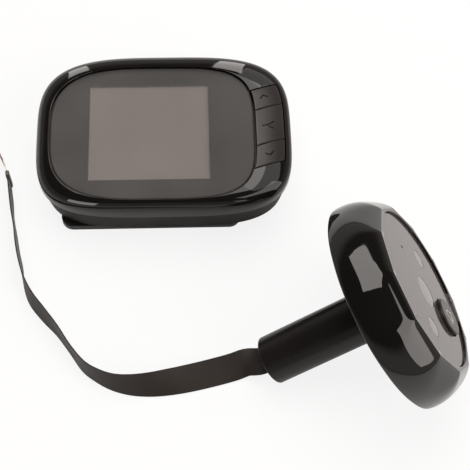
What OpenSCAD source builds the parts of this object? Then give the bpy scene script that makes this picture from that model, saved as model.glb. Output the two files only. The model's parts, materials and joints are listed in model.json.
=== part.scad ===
// Peephole door camera: an indoor monitor on its wall bracket, an outdoor camera unit with its barrel,
// and the flat ribbon cable that comes out of the barrel. Millimetres, laid on a table as on a bench.
// The monitor's screen faces +Z and the top of the screen is towards +Y.
// The origin is the middle of the wall bracket's back.

/* [Screen and window] */
// Width of the lit screen
screen_w = 35.5; // [30:0.5:40]
// Height of the lit screen
screen_h = 32; // [27:0.2:34]
// How far the screen's middle is above the bracket's middle
screen_y = 0.9; // [-0.5:0.1:1.2]
// Width of the display's metal border round the lit screen
lcd_border = 2.2; // [1:0.1:2.4]
// Thickness of the display module
lcd_t = 2.1; // [1.6:0.1:3]
// Width of the smoked window
window_w = 60.4; // [57:0.2:66]
// Height of the smoked window
window_h = 44.6; // [43:0.2:50]
// Thickness of the smoked window
window_t = 1.2; // [0.8:0.1:2]
// How far the window's middle is to the right of the screen's middle
window_x = 1; // [0:0.1:2]
// How far the window's middle is above the bracket's middle
window_y = 0.2; // [-0.5:0.1:1]
// Gap between the window and the casing
window_gap = 0.3; // [0.2:0.05:0.5]

/* [Monitor casing] */
// Width of the rolled rim on the left
rim_left = 4.4; // [3.6:0.1:6]
// Width of the rolled rim on the right, which carries the buttons
rim_right = 11.3; // [10:0.1:14]
// Width of the rolled rim above the window
rim_above = 6.1; // [4.5:0.1:8]
// Width of the rolled rim below the window
rim_below = 2.5; // [1.8:0.1:4]
// Height of the rim's roll
rim_roll = 5; // [4.6:0.1:6]
// How far the rim stands above the window
rim_proud = 0.3; // [0.1:0.05:0.6]
// Depth of the front casing from the window's face to the parting line
front_depth = 7; // [6.4:0.1:8]
// How far the back of the casing is drawn in from its widest outline
rear_inset = 1.4; // [1.2:0.1:2.4]
// Wall thickness of the casings
wall = 1.5; // [1.2:0.05:1.8]
// Thickness of the circuit boards
board_t = 1; // [0.8:0.1:1.6]
// Working gap between flat pieces
seat_gap = 0.2; // [0.1:0.05:0.3]

/* [Monitor buttons] */
// Height of the top edge of the button column, at its left
buttons_top = 14.1; // [13.5:0.1:16]
// Height of the upper button
button_up_h = 7.3; // [6:0.1:8]
// Height of the view button in the middle
button_view_h = 12.2; // [11:0.1:13]
// Height of the lower button
button_down_h = 7.2; // [6:0.1:8]
// Rise of the slanted lines between the buttons, in degrees
button_slant = 22; // [8:1:24]
// Width of the gap round each button
button_gap = 0.25; // [0.2:0.05:0.4]
// Width of the rim left outside the buttons
button_margin = 2.2; // [2:0.1:3]
// Travel of each button
button_travel = 0.3; // [0.2:0.05:0.4]
// Height of the switches under the buttons
switch_h = 0.65; // [0.5:0.05:0.9]
// Side of the square switches under the buttons
switch_w = 3; // [2.5:0.1:4]

/* [Wall bracket] */
// Width of the bracket
bracket_w = 54; // [50:0.5:58]
// Height of the bracket
bracket_h = 44; // [43:0.5:46]
// Thickness of the bracket's plate
bracket_t = 2.6; // [2:0.1:4]
// Radius of the plate's corners
bracket_corner = 3.5; // [2:0.1:5]
// Distance of the screw holes from the plate's edges
bracket_hole_inset = 5; // [4.5:0.1:6]
// Diameter of the bracket's screw holes
bracket_hole_d = 3.4; // [3:0.1:4]
// Diameter of the screw heads' countersinks
countersink_d = 6.4; // [6:0.1:7]
// Distance of each hook from the middle of the bracket
hook_x = 15; // [14:0.1:15.6]
// Width of a hook's head
hook_w = 6; // [5:0.1:7]
// Width of a hook's stem
hook_stem_w = 3; // [2:0.1:4]
// Height of a hook across the plate
hook_h = 2; // [1.6:0.1:2.6]
// Thickness of a hook's head
hook_head_t = 1.6; // [1.2:0.1:2.2]
// Distance the monitor slides up to come off the hooks
unhook_travel = 8; // [6:0.5:8]

/* [Battery] */
// Diameter of a cell
cell_d = 10.5; // [10:0.1:11]
// Length of a cell with its contact stud
cell_len = 44.5; // [42:0.5:46]
// Gap round the cells
cell_gap = 0.3; // [0.2:0.05:0.5]
// Room for the contact plate at each end of the cells
contact_room = 1.6; // [1.4:0.1:2]
// Thickness of the contact plates
contact_t = 0.5; // [0.3:0.1:0.8]
// Width of the ledge that the battery door slides on
door_ledge = 1.4; // [1:0.1:1.8]
// Gap between the battery door and its rails
door_gap = 0.2; // [0.15:0.05:0.3]

/* [Casing screws] */
// Distance of the casing screws from the body's middle, across
screw_x = 27.5; // [27.3:0.1:27.8]
// Distance of the upper casing screws above the body's middle
screw_up = 16.3; // [15.5:0.1:16.5]
// Distance of the lower casing screws below the body's middle
screw_down = 17; // [16.6:0.1:17.2]
// Diameter of the screws' shanks
screw_d = 1.8; // [1.6:0.1:2]
// Diameter of the screws' heads
screw_head_d = 3.8; // [3.4:0.1:4]
// Thickness of the screws' heads
screw_head_t = 1.2; // [1:0.1:1.4]
// Diameter of the bosses that the screws go through
boss_d = 4.4; // [4.2:0.1:4.8]
// Gap round a screw in its hole
screw_gap = 0.15; // [0.1:0.05:0.25]

/* [Outdoor unit] */
// Diameter of the outdoor unit's rear rim
rim_d = 59.6; // [56:0.2:64]
// Thickness of the outdoor unit from the rear rim to the front
unit_t = 12.7; // [12:0.1:14]
// Width across the corners of the twelve-sided front
front_w = 48.9; // [47:0.1:50]
// Number of facets round the dome
facets = 12; // [10:2:14]
// Thickness of the rear cover
back_t = 2; // [1.8:0.1:2.6]
// Thickness of the dome's skirt round the rear cover
skirt_t = 1.2; // [1:0.1:1.6]
// Diameter of the round window in the front
face_window_d = 45.2; // [43:0.1:45.4]
// Thickness of the round window
face_window_t = 1; // [0.8:0.1:1.2]
// Depth of the round window below the front
face_recess = 0.7; // [0.3:0.05:0.9]
// How far the lens and the lamps are below the middle of the face
lens_drop = 1.4; // [0:0.1:1.8]
// Diameter of the lens cover
lens_d = 9; // [7:0.2:11]
// Diameter of the infrared lamps' covers
led_d = 5.4; // [4:0.2:6]
// Distance of each infrared lamp from the lens
led_x = 12.9; // [12:0.1:14]
// Distance of the bell button below the lens
bell_y = 12.3; // [12:0.1:12.6]
// Diameter of the bell button
bell_d = 10.8; // [9:0.2:12]
// How far the bell button stands out
bell_proud = 0.4; // [0.2:0.1:1.5]
// Travel of the bell button
bell_travel = 0.7; // [0.4:0.05:0.8]
// Gap round the pieces set in the round window
face_gap = 0.15; // [0.1:0.05:0.25]
// Turn of the face about the barrel's axis as it lies, in degrees
face_roll = 62; // [0:1:90]

/* [Barrel] */
// Outer diameter of the barrel
barrel_d = 14; // [12:0.2:15]
// Inner diameter of the barrel
barrel_bore = 10.8; // [10.2:0.1:11]
// Length of the barrel behind the rear rim
barrel_len = 36.5; // [30:0.5:45]
// Gap between the barrel and a hole that it goes through
barrel_gap = 0.5; // [0.3:0.05:0.8]
// Diameter of the barrel's collar in the rear cover
collar_d = 15.8; // [15.6:0.1:17]
// Diameter of the barrel's inner flange
flange_d = 21; // [19:0.2:24]
// Thickness of the barrel's inner flange
flange_t = 1.5; // [1.2:0.1:2]
// Direction that the barrel points as the unit lies on the table, in degrees
unit_turn = 14.8; // [0:0.1:40]

/* [Ribbon cable] */
// Width of the ribbon
ribbon_w = 8; // [6:0.1:9]
// Thickness of the ribbon
ribbon_t = 0.35; // [0.3:0.05:0.5]
// Thickness of the plug on the ribbon
plug_t = 1.1; // [1:0.1:2]
// Length of the plug on the ribbon
plug_len = 1.8; // [1.5:0.1:4]
// Length of the contact tongue
tongue_len = 4.4; // [3:0.1:6]
// Length of the pull tab
tab_len = 5; // [3:0.1:8]

/* [Hidden] */
$fn = 64;

// Cuts run past the face that they open by this much
cut = 0.1;
// Points round a casing outline
sides = 48;
// Steps round the rolled rim
roll_steps = 6;

// Heights in the monitor, from the table up
rear_z = bracket_t + seat_gap;
inner_z = rear_z + wall;
cell_z = inner_z + cell_gap + cell_d / 2;
board_z = inner_z + 2 * cell_gap + cell_d;
lcd_z = board_z + board_t + seat_gap / 2;
window_z = lcd_z + lcd_t + seat_gap;
face_z = window_z + window_t;
screen_place = [0, screen_y];
lcd_w = screen_w + 2 * lcd_border;
lcd_h = screen_h + 2 * lcd_border;
// Thickness of the display frame's sides, and the glass's gap inside them
lcd_side = 0.5;
lcd_gap = 0.15;
lcd_lip_t = 0.3;
lcd_glass_t = 1.6;
rim_z = face_z + rim_proud;
part_z = face_z - front_depth;
roll_z = face_z - rim_roll;
// Thickness of the ledge that the window sits on
ledge_t = 1.2;
// Width of the ledge that the window sits on
ledge_w = 2;
ledge_z = window_z - seat_gap / 2 - ledge_t;
// Room left over a switch when its button is pressed
press_gap = 0.05;
cap_z = board_z + board_t + switch_h + button_travel + press_gap;

// Corner roundness of the outlines: upper right, upper left, lower left, lower right
body_powers = [3.7, 3.35, 3.9, 3.8];
window_powers = [4, 3.1, 3.1, 4];
body_w = window_w + rim_left + rim_right;
body_h = window_h + rim_above + rim_below;
body_x = window_x + (rim_right - rim_left) / 2;
body_y = window_y + (rim_above - rim_below) / 2;
// An outline is its half width, half height, middle across, middle up and corner powers
window_outline = [window_w / 2, window_h / 2, window_x, window_y, window_powers];
pocket_outline = grow(window_outline, window_gap);
body_outline = [body_w / 2, body_h / 2, body_x, body_y, body_powers];
inside_outline = grow(body_outline, -wall);
rear_outline = grow(body_outline, -rear_inset);
// How far the rear casing stays inside the front one where they meet
part_step = 0.25;
// Width and height of the rounded edge round the back
back_edge = 1.2;
// Width and height of the fillet round the inside of the back
back_fillet = 0.6;

// Battery bay, with the lower cell close to the casing's lower wall
cell_pitch = cell_d + cell_gap;
cell_low_y = body_y - body_h / 2 + rear_inset + wall + cell_gap + cell_d / 2;
bay_top = cell_low_y + cell_pitch + cell_d / 2 + cell_gap;
bay_half = cell_len / 2 + contact_room;
rib_t = 1.2;
bay_rib_low = body_y - body_h / 2 + rear_inset + wall + ledge_w;
door_half = bay_half - rib_t / 2;
door_top = bay_top - cell_gap;

// Cable recess behind the bracket's barrel hole
hole_r = barrel_d / 2 + barrel_gap;
// How much wider the recess is than the bracket's hole
recess_room = 0.7;
recess_r = hole_r + recess_room;
recess_y = bay_top + rib_t + recess_r - cell_gap;
recess_depth = 8.2;
recess_z = rear_z + recess_depth;
socket_w = 11;
socket_t = 3.4;
socket_drop = 1;
socket_gap = 0.15;
socket_slot = 3.5;

// Screw holes of the bracket
bracket_hole_x = bracket_w / 2 - bracket_hole_inset;
bracket_hole_y = bracket_h / 2 - bracket_hole_inset;

// Hooks of the bracket and the casing's slots for them
// How far the hooks are below the top of the recess
hook_drop = 3;
hook_y = recess_y + recess_r - hook_drop;
hook_gap = 0.2;
// Room between a hook's head and the casing's back wall
hook_play = 0.6;
hook_z = inner_z + hook_play;

// Speaker on the back wall
speaker_d = 12;
speaker_t = 3.5;
speaker_rim_t = 1.4;
speaker_rim = 1.5;
speaker_room = 1.2;
speaker_drop = 1.6;
speaker_x = hook_x + hook_w / 2 + speaker_d / 2 + speaker_room;
speaker_y = recess_y - speaker_drop;
grille_holes = 6;
grille_r = 3;
grille_hole_r = 0.5;

// Screws of both casings and of the outdoor unit
screw_bite = 3.4;
boss_shoulder = 0.6;
cross_len = 2.2;
cross_w = 0.5;
cross_depth = 0.5;

// Dome of the outdoor unit: each facet is a round arc from the rear rim to the front
barrel_r = barrel_d / 2;
rest_tilt = atan((rim_d / 2 - barrel_r) / barrel_len);
// Where the barrel's end lies on the table
unit_x = 33.8;
unit_y = -66.6;
barrel_end = [unit_x, unit_y, barrel_r * cos(rest_tilt)];
front_z = barrel_len + unit_t;
dome_z = barrel_len + back_t;
facet_front = front_w / 2 * cos(180 / facets);
// How far the middle of a facet is inside the rear rim
facet_inset = 0.2;
facet_rear = rim_d / 2 - facet_inset;
// How far in front of the rear rim the facets start to curve in
arc_start = 1.5;
arc_z = barrel_len + arc_start;
arc_rise = front_z - arc_z;
arc_fall = facet_rear - facet_front;
arc_r = (arc_rise * arc_rise + arc_fall * arc_fall) / (2 * arc_fall);
arc_low = asin((barrel_len - arc_z) / arc_r);
arc_high = asin((front_z - arc_z) / arc_r);
// Steps up a facet and points across it
arc_steps = 8;
facet_points = 6;
// Rear cover inside the dome's skirt
skirt_r = rim_d / 2 - skirt_t;
cover_r = skirt_r - face_gap;
// Hollow of the dome: wide behind, and narrower under the round window's ledge
rim_wall = 4.3;
hollow_r = rim_d / 2 - rim_wall;
hollow_straight = 4.6;
face_ledge = 2.2;
hollow_front_r = face_window_d / 2 - face_ledge;
face_z_local = front_z - face_recess;
window_back = face_z_local - face_window_t;
camera_board_z = dome_z + flange_t + seat_gap / 2;
camera_board_top = camera_board_z + board_t;
lens_hole = lens_d / 2 + face_gap;
lens_place = [0, -lens_drop];
bell_place = lens_place - [0, bell_y];
// Distance of the microphone's hole to the side of the lens and above it
mic_side = 8;
mic_up = 11;
mic_place = lens_place + [mic_side, mic_up];
mic_hole = 0.5;
bell_flange = 0.7;
bell_flange_t = 0.8;
bell_flange_z = window_back - seat_gap / 2 - bell_flange_t;
seal_edge = 0.65;
seal_w = 1.2;
seal_out = cover_r - seal_edge;
seal_in = seal_out - seal_w;
seal_depth = 0.6;
seal_gap = 0.1;
// Distance of the housing's screws inside the seal, and the camera board's gap inside their bosses
housing_screw_inset = 3.1;
housing_screw_r = seal_in - housing_screw_inset;
housing_screw_len = 6.5;
housing_boss_r = 2.6;
housing_boss_end = 1;
camera_board_gap = 0.6;
camera_board_r = housing_screw_r - housing_boss_r - camera_board_gap;
connector_drop = 2;
connector_t = 3;
connector_side = 0.5;

// How far the ribbon lies to one side in the barrel, and its straight lead inside it
ribbon_shift = 0.9;
ribbon_lead = 3;
ribbon_start = barrel_end + ribbon_shift * [-sin(unit_turn), cos(unit_turn), 0];
// Free run of the ribbon: place across, place up, height, and turn about its run in degrees
ribbon_route = [
    [30.6, -66.3, 4.2, 4], [27, -66, 2.6, 10], [23.1, -67, 1.6, 16], [17.2, -68.6, 1.8, 22],
    [10.5, -70.2, 2.2, 28], [5, -71.3, 2.7, 36], [-0.5, -72.1, 3.3, 48], [-6, -72.2, 3.8, 60],
    [-11.1, -71.3, 4.1, 71], [-15.6, -69.2, 4.2, 78], [-19.3, -66.4, 4.2, 82], [-23.1, -61.3, 4.2, 86],
    [-26.8, -55.8, 4.2, 83], [-31, -50.7, 4.2, 77], [-34.8, -45.6, 4.2, 77], [-37.1, -40.2, 4.2, 84],
    [-38.3, -34.8, 4.2, 92], [-39.5, -29.4, 4.2, 91], [-40.4, -23.9, 4.2, 89], [-41.5, -18.4, 4.2, 89],
    [-42.2, -12.9, 4.2, 91], [-43, -7.4, 4.2, 90]];
ribbon_steps = 2;
plug_h = ribbon_w;
tongue_step = 0.5;
tongue_h = ribbon_w - 2 * tongue_step;
tongue_t = 0.35;
tab_step = 1;
tab_h = ribbon_w - 2 * tab_step;
tab_t = 0.2;
plug_turn = 8;
tongue_turn = 20;
tab_turn = 26;
// Gap before each leaf that is turned from the piece it comes out of
leaf_gap = 0.1;

// One point of an outline at a given angle
function outline_point(o, t) =
    let (power = 2 / o[4][floor(t / 90)], c = cos(t), s = sin(t))
    [o[2] + o[0] * sign(c) * pow(abs(c), power), o[3] + o[1] * sign(s) * pow(abs(s), power)];
function outline(o) = [for (k = [0 : sides - 1]) outline_point(o, 360 * k / sides)];
function grow(o, d) = [o[0] + d, o[1] + d, o[2], o[3], o[4]];
function blend(p, q, u) = [for (k = [0 : len(p) - 1]) p[k] * (1 - u) + q[k] * u];
function level(points, z) = [for (p = points) [p[0], p[1], z]];
// Rings of a rolled rim that goes in and up from one outline to another
function rolled(inner, outer, low, high) =
    [for (k = [0 : roll_steps])
        let (t = 90 * k / roll_steps)
        level(blend(outline(inner), outline(outer), cos(t)), low + (high - low) * sin(t))];

// Unit vectors for the ribbon's sweep
function unit(v) = v / norm(v);
function flat_across(run) = unit(cross(run, [0, 0, 1]));
// A smooth curve through four points of the route
function curve_at(a, b, c, d, u) =
    0.5 * (2 * b + (c - a) * u + (2 * a - 5 * b + 4 * c - d) * u * u + (3 * b - a - 3 * c + d) * u * u * u);

// A closed solid through a stack of rings that all have the same number of points
module loft(rings) {
    n = len(rings[0]);
    m = len(rings);
    polyhedron(
        points = [for (r = rings) each r],
        faces = concat(
            [[for (k = [0 : n - 1]) k]],
            [[for (k = [n - 1 : -1 : 0]) (m - 1) * n + k]],
            [for (i = [0 : m - 2], k = [0 : n - 1]) [i * n + k, (i + 1) * n + k, (i + 1) * n + (k + 1) % n]],
            [for (i = [0 : m - 2], k = [0 : n - 1])
                [i * n + k, (i + 1) * n + (k + 1) % n, i * n + (k + 1) % n]]));
}

// A plate of an outline
module outline_plate(o, low, thick) {
    translate([0, 0, low]) linear_extrude(thick) polygon(outline(o));
}

// A block that is centred across and up, and stands on a height
module block(middle, size, low) {
    translate([middle[0] - size[0] / 2, middle[1] - size[1] / 2, low]) cube([size[0], size[1], size[2]]);
}

module post(middle, r, low, high) {
    translate([middle[0], middle[1], low]) cylinder(r = r, h = high - low);
}

function casing_screw_places() =
    [for (side = [-1, 1], up = [-screw_down, screw_up]) [body_x + side * screw_x, body_y + up]];

module rounded_plate(w, h, r, thick) {
    linear_extrude(thick) union() {
        square([w - 2 * r, h], center = true);
        square([w, h - 2 * r], center = true);
        for (x = [-1, 1], y = [-1, 1]) translate([x * (w / 2 - r), y * (h / 2 - r)]) circle(r);
    }
}

module hook(x) {
    block([x, hook_y], [hook_stem_w, hook_h, hook_z - bracket_t + 2 * cut], bracket_t - cut);
    block([x, hook_y], [hook_w, hook_h, hook_head_t], hook_z);
}

module wall_bracket() {
    color("#262220") difference() {
        union() {
            rounded_plate(bracket_w, bracket_h, bracket_corner, bracket_t);
            for (side = [-1, 1]) hook(side * hook_x);
        }
        post([0, recess_y], hole_r, -cut, bracket_t + cut);
        for (x = [-1, 1], y = [-1, 1])
            translate([x * bracket_hole_x, y * bracket_hole_y, 0]) {
                post([0, 0], bracket_hole_d / 2, -cut, bracket_t + cut);
                translate([0, 0, bracket_t - (countersink_d - bracket_hole_d) / 2])
                    cylinder(r1 = bracket_hole_d / 2, r2 = countersink_d / 2 + cut,
                        h = (countersink_d - bracket_hole_d) / 2 + cut);
            }
    }
}

// Whole body of the front casing before it is hollowed
module front_body() {
    loft(concat([level(outline(body_outline), part_z)], rolled(pocket_outline, body_outline, roll_z, rim_z)));
}

module front_hollow() {
    loft(concat([level(outline(inside_outline), part_z - cut)],
        rolled(pocket_outline, inside_outline, roll_z, ledge_z)));
}

// Slanted column of a button, from its lower line to its upper line
module button_column(low, high) {
    column_reach = 8;
    column_left = window_x + window_w / 2 - column_reach;
    column_right = body_x + body_w / 2;
    base_x = window_x + window_w / 2;
    polygon([
        [column_left, low + (column_left - base_x) * tan(button_slant)],
        [column_right, low + (column_right - base_x) * tan(button_slant)],
        [column_right, high + (column_right - base_x) * tan(button_slant)],
        [column_left, high + (column_left - base_x) * tan(button_slant)]]);
}

// Plan of a button, or of the casing's opening for the buttons when it is grown by the gap
module button_plan(low, high, more) {
    difference() {
        intersection() {
            button_column(low - more, high + more);
            polygon(outline(grow(body_outline, more - button_margin)));
        }
        polygon(outline(grow(pocket_outline, button_gap / 2 - more)));
    }
}

buttons_low = buttons_top - button_up_h - button_view_h - button_down_h;

module front_casing() {
    color("#0d0c0c") difference() {
        union() {
            difference() {
                front_body();
                front_hollow();
            }
            for (p = casing_screw_places()) {
                post(p, boss_d / 2, part_z, ledge_z);
                post(p, boss_d / 2 + boss_shoulder, board_z + board_t + seat_gap / 2, ledge_z);
            }
        }
        outline_plate(pocket_outline, window_z - seat_gap / 2, face_z);
        outline_plate(grow(pocket_outline, -ledge_w), part_z, face_z);
        block(screen_place, [lcd_w + seat_gap, lcd_h + seat_gap, face_z], part_z);
        translate([0, 0, part_z]) linear_extrude(face_z) button_plan(buttons_low, buttons_top, button_gap);
        for (p = casing_screw_places()) post(p, screw_d / 2 + screw_gap / 2, part_z - cut, ledge_z);
    }
}

// Whole body of the rear casing before it is hollowed, with its back edge rounded
module rear_body() {
    loft([
        level(outline(grow(rear_outline, -back_edge)), rear_z),
        level(outline(grow(rear_outline, -back_edge * (1 - sin(45)))), rear_z + back_edge * (1 - sin(45))),
        level(outline(rear_outline), rear_z + back_edge),
        level(outline(grow(body_outline, -part_step)), part_z)]);
}

module rear_hollow() {
    loft([
        level(outline(grow(rear_outline, -wall - back_fillet)), inner_z),
        level(outline(grow(rear_outline, -wall)), inner_z + back_fillet),
        level(outline(grow(inside_outline, -part_step)), part_z + cut)]);
}

// Space of the battery door, or of the opening for it when it is grown by the gap
module door_space(more) {
    low = body_y - body_h / 2 - cut;
    mid_z = rear_z + wall / 2;
    block([body_x, (low + door_top + more) / 2],
        [2 * (door_half - door_ledge + more), door_top + more - low, wall + cut - more / 2], rear_z - cut);
    block([body_x, (low + door_top + more) / 2],
        [2 * (door_half + more), door_top + more - low, inner_z - mid_z + more], mid_z - more / 2);
}

module battery_ribs() {
    rib_h = part_z - inner_z + cut;
    for (side = [-1, 1])
        block([body_x + side * (bay_half + rib_t / 2), (bay_rib_low + bay_top) / 2],
            [rib_t, bay_top - bay_rib_low, rib_h], inner_z - cut);
    block([body_x, bay_top + rib_t / 2], [2 * bay_half + 2 * rib_t, rib_t, rib_h], inner_z - cut);
}

module hook_slot(x) {
    wide = hook_w / 2 + hook_gap;
    tall = hook_h / 2 + hook_gap;
    block([x, hook_y - unhook_travel / 2],
        [hook_stem_w + 2 * hook_gap, unhook_travel + 2 * tall, wall + 2 * cut], rear_z - cut);
    block([x, hook_y - unhook_travel], [2 * wide, 2 * tall, wall + 2 * cut], rear_z - cut);
}

module rear_casing() {
    color("#2b2523") difference() {
        union() {
            difference() {
                rear_body();
                rear_hollow();
            }
            battery_ribs();
            post([0, recess_y], recess_r + rib_t, inner_z - cut, recess_z + rib_t);
            for (p = casing_screw_places()) post(p, boss_d / 2, inner_z - cut, part_z);
        }
        door_space(door_gap);
        post([0, recess_y], recess_r, rear_z - cut, recess_z);
        block([0, recess_y],
            [socket_w + 2 * seat_gap, socket_t + 2 * seat_gap, rib_t + 2 * cut], recess_z - cut);
        for (side = [-1, 1]) hook_slot(side * hook_x);
        for (p = casing_screw_places()) {
            post(p, screw_d / 2 + screw_gap, rear_z - cut, part_z + cut);
            post(p, screw_head_d / 2 + screw_gap, rear_z - cut, inner_z + screw_gap);
        }
        translate([speaker_x, speaker_y, 0]) for (k = [1 : grille_holes])
            rotate([0, 0, 360 * k / grille_holes])
                post([grille_r, 0], grille_hole_r, rear_z - cut, inner_z + cut);
    }
}

module screen_window() {
    color("#5c5752") outline_plate(window_outline, window_z, window_t);
}

// The display's metal frame has a lip over the glass, open over the lit screen
module display_frame() {
    color("#8a8680") difference() {
        block(screen_place, [lcd_w, lcd_h, lcd_t], lcd_z);
        block(screen_place, [lcd_w - 2 * lcd_side, lcd_h - 2 * lcd_side, lcd_t - lcd_lip_t + cut], lcd_z - cut);
        block(screen_place, [screen_w, screen_h, lcd_t + 2 * cut], lcd_z - cut);
    }
}

module display_glass() {
    inset = 2 * (lcd_side + lcd_gap);
    color("#89807c") block(screen_place, [lcd_w - inset, lcd_h - inset, lcd_glass_t], lcd_z);
}

// Notch in the board's side for a screw's boss
module board_notch(p) {
    notch_r = boss_d / 2 + seat_gap;
    side_x = body_x + sign(p[0] - body_x) * body_w / 2;
    post(p, notch_r, board_z - cut, board_z + board_t + cut);
    block([(p[0] + side_x) / 2, p[1]], [abs(side_x - p[0]), 2 * notch_r, board_t + 2 * cut], board_z - cut);
}

module main_board() {
    board_inset = 0.5;
    board_reach = 0.7;
    edge = blend(outline(grow(pocket_outline, -board_inset)),
        outline(grow(inside_outline, -board_inset)), board_reach);
    color("#1f4d2e") difference() {
        translate([0, 0, board_z]) linear_extrude(board_t) polygon(edge);
        for (p = casing_screw_places()) board_notch(p);
    }
}

module cable_socket() {
    color("#d8d2c2") difference() {
        block([0, recess_y], [socket_w, socket_t, board_z - recess_z + socket_drop], recess_z - socket_drop);
        block([0, recess_y], [ribbon_w + 2 * socket_gap, tongue_t + 2 * socket_gap, socket_slot + cut],
            recess_z - socket_drop - cut);
    }
}

function button_places() = [
    buttons_top - button_up_h / 2,
    buttons_top - button_up_h - button_view_h / 2,
    buttons_top - button_up_h - button_view_h - button_down_h / 2];

module tact_switches() {
    past_window = 3.6;
    plunger_h = 0.2;
    plunger_r = 1;
    rise = past_window * tan(button_slant);
    for (y = button_places())
        color("#9c9894") translate([window_x + window_w / 2 + past_window, y + rise, board_z + board_t]) {
            block([0, 0], [switch_w, switch_w, switch_h - plunger_h], 0);
            post([0, 0], plunger_r, 0, switch_h);
        }
}

// A button is a piece of the rolled rim itself
module button_cap(low, high) {
    intersection() {
        front_body();
        translate([0, 0, cap_z]) linear_extrude(face_z) button_plan(low, high, -button_gap / 2);
    }
}

module button_up() {
    color("#3e3936") button_cap(buttons_top - button_up_h, buttons_top);
}

module button_view() {
    color("#3e3936") button_cap(buttons_top - button_up_h - button_view_h, buttons_top - button_up_h);
}

module button_down() {
    color("#3e3936") button_cap(buttons_low, buttons_low + button_down_h);
}

module speaker() {
    color("#3a3a3c") translate([speaker_x, speaker_y, inner_z]) {
        cylinder(d = speaker_d, h = speaker_rim_t);
        cylinder(d = speaker_d - 2 * speaker_rim, h = speaker_t);
    }
}

// Two cells lie across the monitor, one each way round
module battery_cells() {
    stud_len = 1;
    stud_d = 3.8;
    for (k = [0, 1])
        translate([body_x, cell_low_y + k * cell_pitch, cell_z]) rotate([0, k == 0 ? 90 : -90, 0]) {
            color("#8d7a3a") translate([0, 0, -cell_len / 2]) cylinder(d = cell_d, h = cell_len - stud_len);
            color("#c0c0c0") translate([0, 0, cell_len / 2 - stud_len - cut])
                cylinder(d = stud_d, h = stud_len + cut);
        }
}

module battery_contacts() {
    contact_side = 8;
    spring_d = 4;
    color("#c8c4bc") for (k = [0, 1], side = [-1, 1])
        translate([body_x + side * (bay_half - contact_t / 2), cell_low_y + k * cell_pitch, cell_z]) {
            cube([contact_t, contact_side, contact_side], center = true);
            rotate([0, -90 * side, 0]) cylinder(d = spring_d, h = contact_room - 2 * cell_gap);
        }
}

module battery_door() {
    groove_w = 0.8;
    groove_len = 14;
    groove_depth = 0.4;
    grooves = 4;
    grooves_up = 5;
    first_y = body_y - body_h / 2 + rear_inset + grooves_up;
    color("#2b2523") difference() {
        intersection() {
            rear_body();
            door_space(0);
        }
        for (k = [0 : grooves - 1])
            block([body_x, first_y + 2 * k * groove_w],
                [groove_len, groove_w, groove_depth + cut], rear_z - cut);
    }
}

// Cross cut in a screw's head, centred on the head's outer face
module screw_cross() {
    for (turn = [0, 90]) rotate([0, 0, turn]) cube([cross_len, cross_w, 2 * cross_depth], center = true);
}

module casing_screws() {
    shank_top = part_z + screw_bite;
    color("#6d6b68") for (p = casing_screw_places()) difference() {
        union() {
            post(p, screw_head_d / 2, inner_z - screw_head_t, inner_z);
            post(p, screw_d / 2, inner_z - cut, shank_top);
        }
        translate([p[0], p[1], inner_z - screw_head_t]) screw_cross();
    }
}

// Stands a piece made along +Z on the lying unit: the barrel's end is its base
module on_unit() {
    translate(barrel_end) rotate([0, 0, unit_turn]) rotate([0, 90 - rest_tilt, 0]) children();
}

// The same with the face turned, so that +Y is the way up when the unit is in a door
module on_face() {
    on_unit() rotate([0, 0, face_roll]) children();
}

// One level of the dome: flat facets whose corners stay inside the round rear rim
function dome_ring(turn) =
    let (middle = facet_rear - arc_r + arc_r * cos(turn), step = 360 / facets)
    [for (k = [0 : facets - 1], i = [0 : facet_points - 1])
        let (across = step * (i / facet_points - 0.5),
            reach = min(rim_d / 2, middle / cos(across)),
            t = step * (k + 0.5) + across)
        [reach * cos(t), reach * sin(t), arc_z + arc_r * sin(turn)]];

// The dome before it is hollowed
module dome_body() {
    loft([for (k = [0 : arc_steps]) dome_ring(arc_low + (arc_high - arc_low) * k / arc_steps)]);
}

module housing_screw_places() {
    for (k = [0 : 2]) rotate([0, 0, 30 + 120 * k]) translate([housing_screw_r, 0, 0]) children();
}

module camera_housing() {
    color("#0b0a0a") on_face() difference() {
        union() {
            difference() {
                dome_body();
                post([0, 0], skirt_r, barrel_len - cut, dome_z);
                post([0, 0], hollow_r, dome_z - cut, dome_z + hollow_straight);
            }
            housing_screw_places()
                post([0, 0], housing_boss_r, dome_z + seat_gap, dome_z + hollow_straight + cut);
        }
        post([0, 0], face_window_d / 2 + face_gap, window_back, front_z + cut);
        post([0, 0], hollow_front_r, dome_z + hollow_straight - cut, front_z);
        housing_screw_places()
            post([0, 0], screw_d / 2 + screw_gap / 2, dome_z - cut, dome_z + housing_screw_len);
    }
}

module camera_back() {
    color("#141313") on_face() difference() {
        post([0, 0], cover_r, barrel_len, dome_z);
        post([0, 0], collar_d / 2 + face_gap, barrel_len - cut, dome_z + cut);
        difference() {
            post([0, 0], seal_out + seal_gap, dome_z - seal_depth, dome_z + cut);
            post([0, 0], seal_in - seal_gap, dome_z - seal_depth - cut, dome_z + 2 * cut);
        }
        housing_screw_places() {
            post([0, 0], screw_d / 2 + screw_gap, barrel_len - cut, dome_z + cut);
            post([0, 0], screw_head_d / 2 + screw_gap, barrel_len - cut, barrel_len + screw_head_t);
        }
    }
}

module housing_seal() {
    color("#1c1c1c") on_face() difference() {
        post([0, 0], seal_out, dome_z - seal_depth, dome_z);
        post([0, 0], seal_in, dome_z - seal_depth - cut, dome_z + cut);
    }
}

// Barrel with a collar in the rear cover and an inner flange that the cover holds
module barrel_tube() {
    edge = 0.4;
    color("#171514") on_unit() rotate_extrude() polygon([
        [barrel_bore / 2, 0], [barrel_r - edge, 0], [barrel_r, edge], [barrel_r, barrel_len],
        [collar_d / 2, barrel_len], [collar_d / 2, dome_z], [flange_d / 2, dome_z],
        [flange_d / 2, dome_z + flange_t], [barrel_bore / 2, dome_z + flange_t]]);
}

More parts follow.
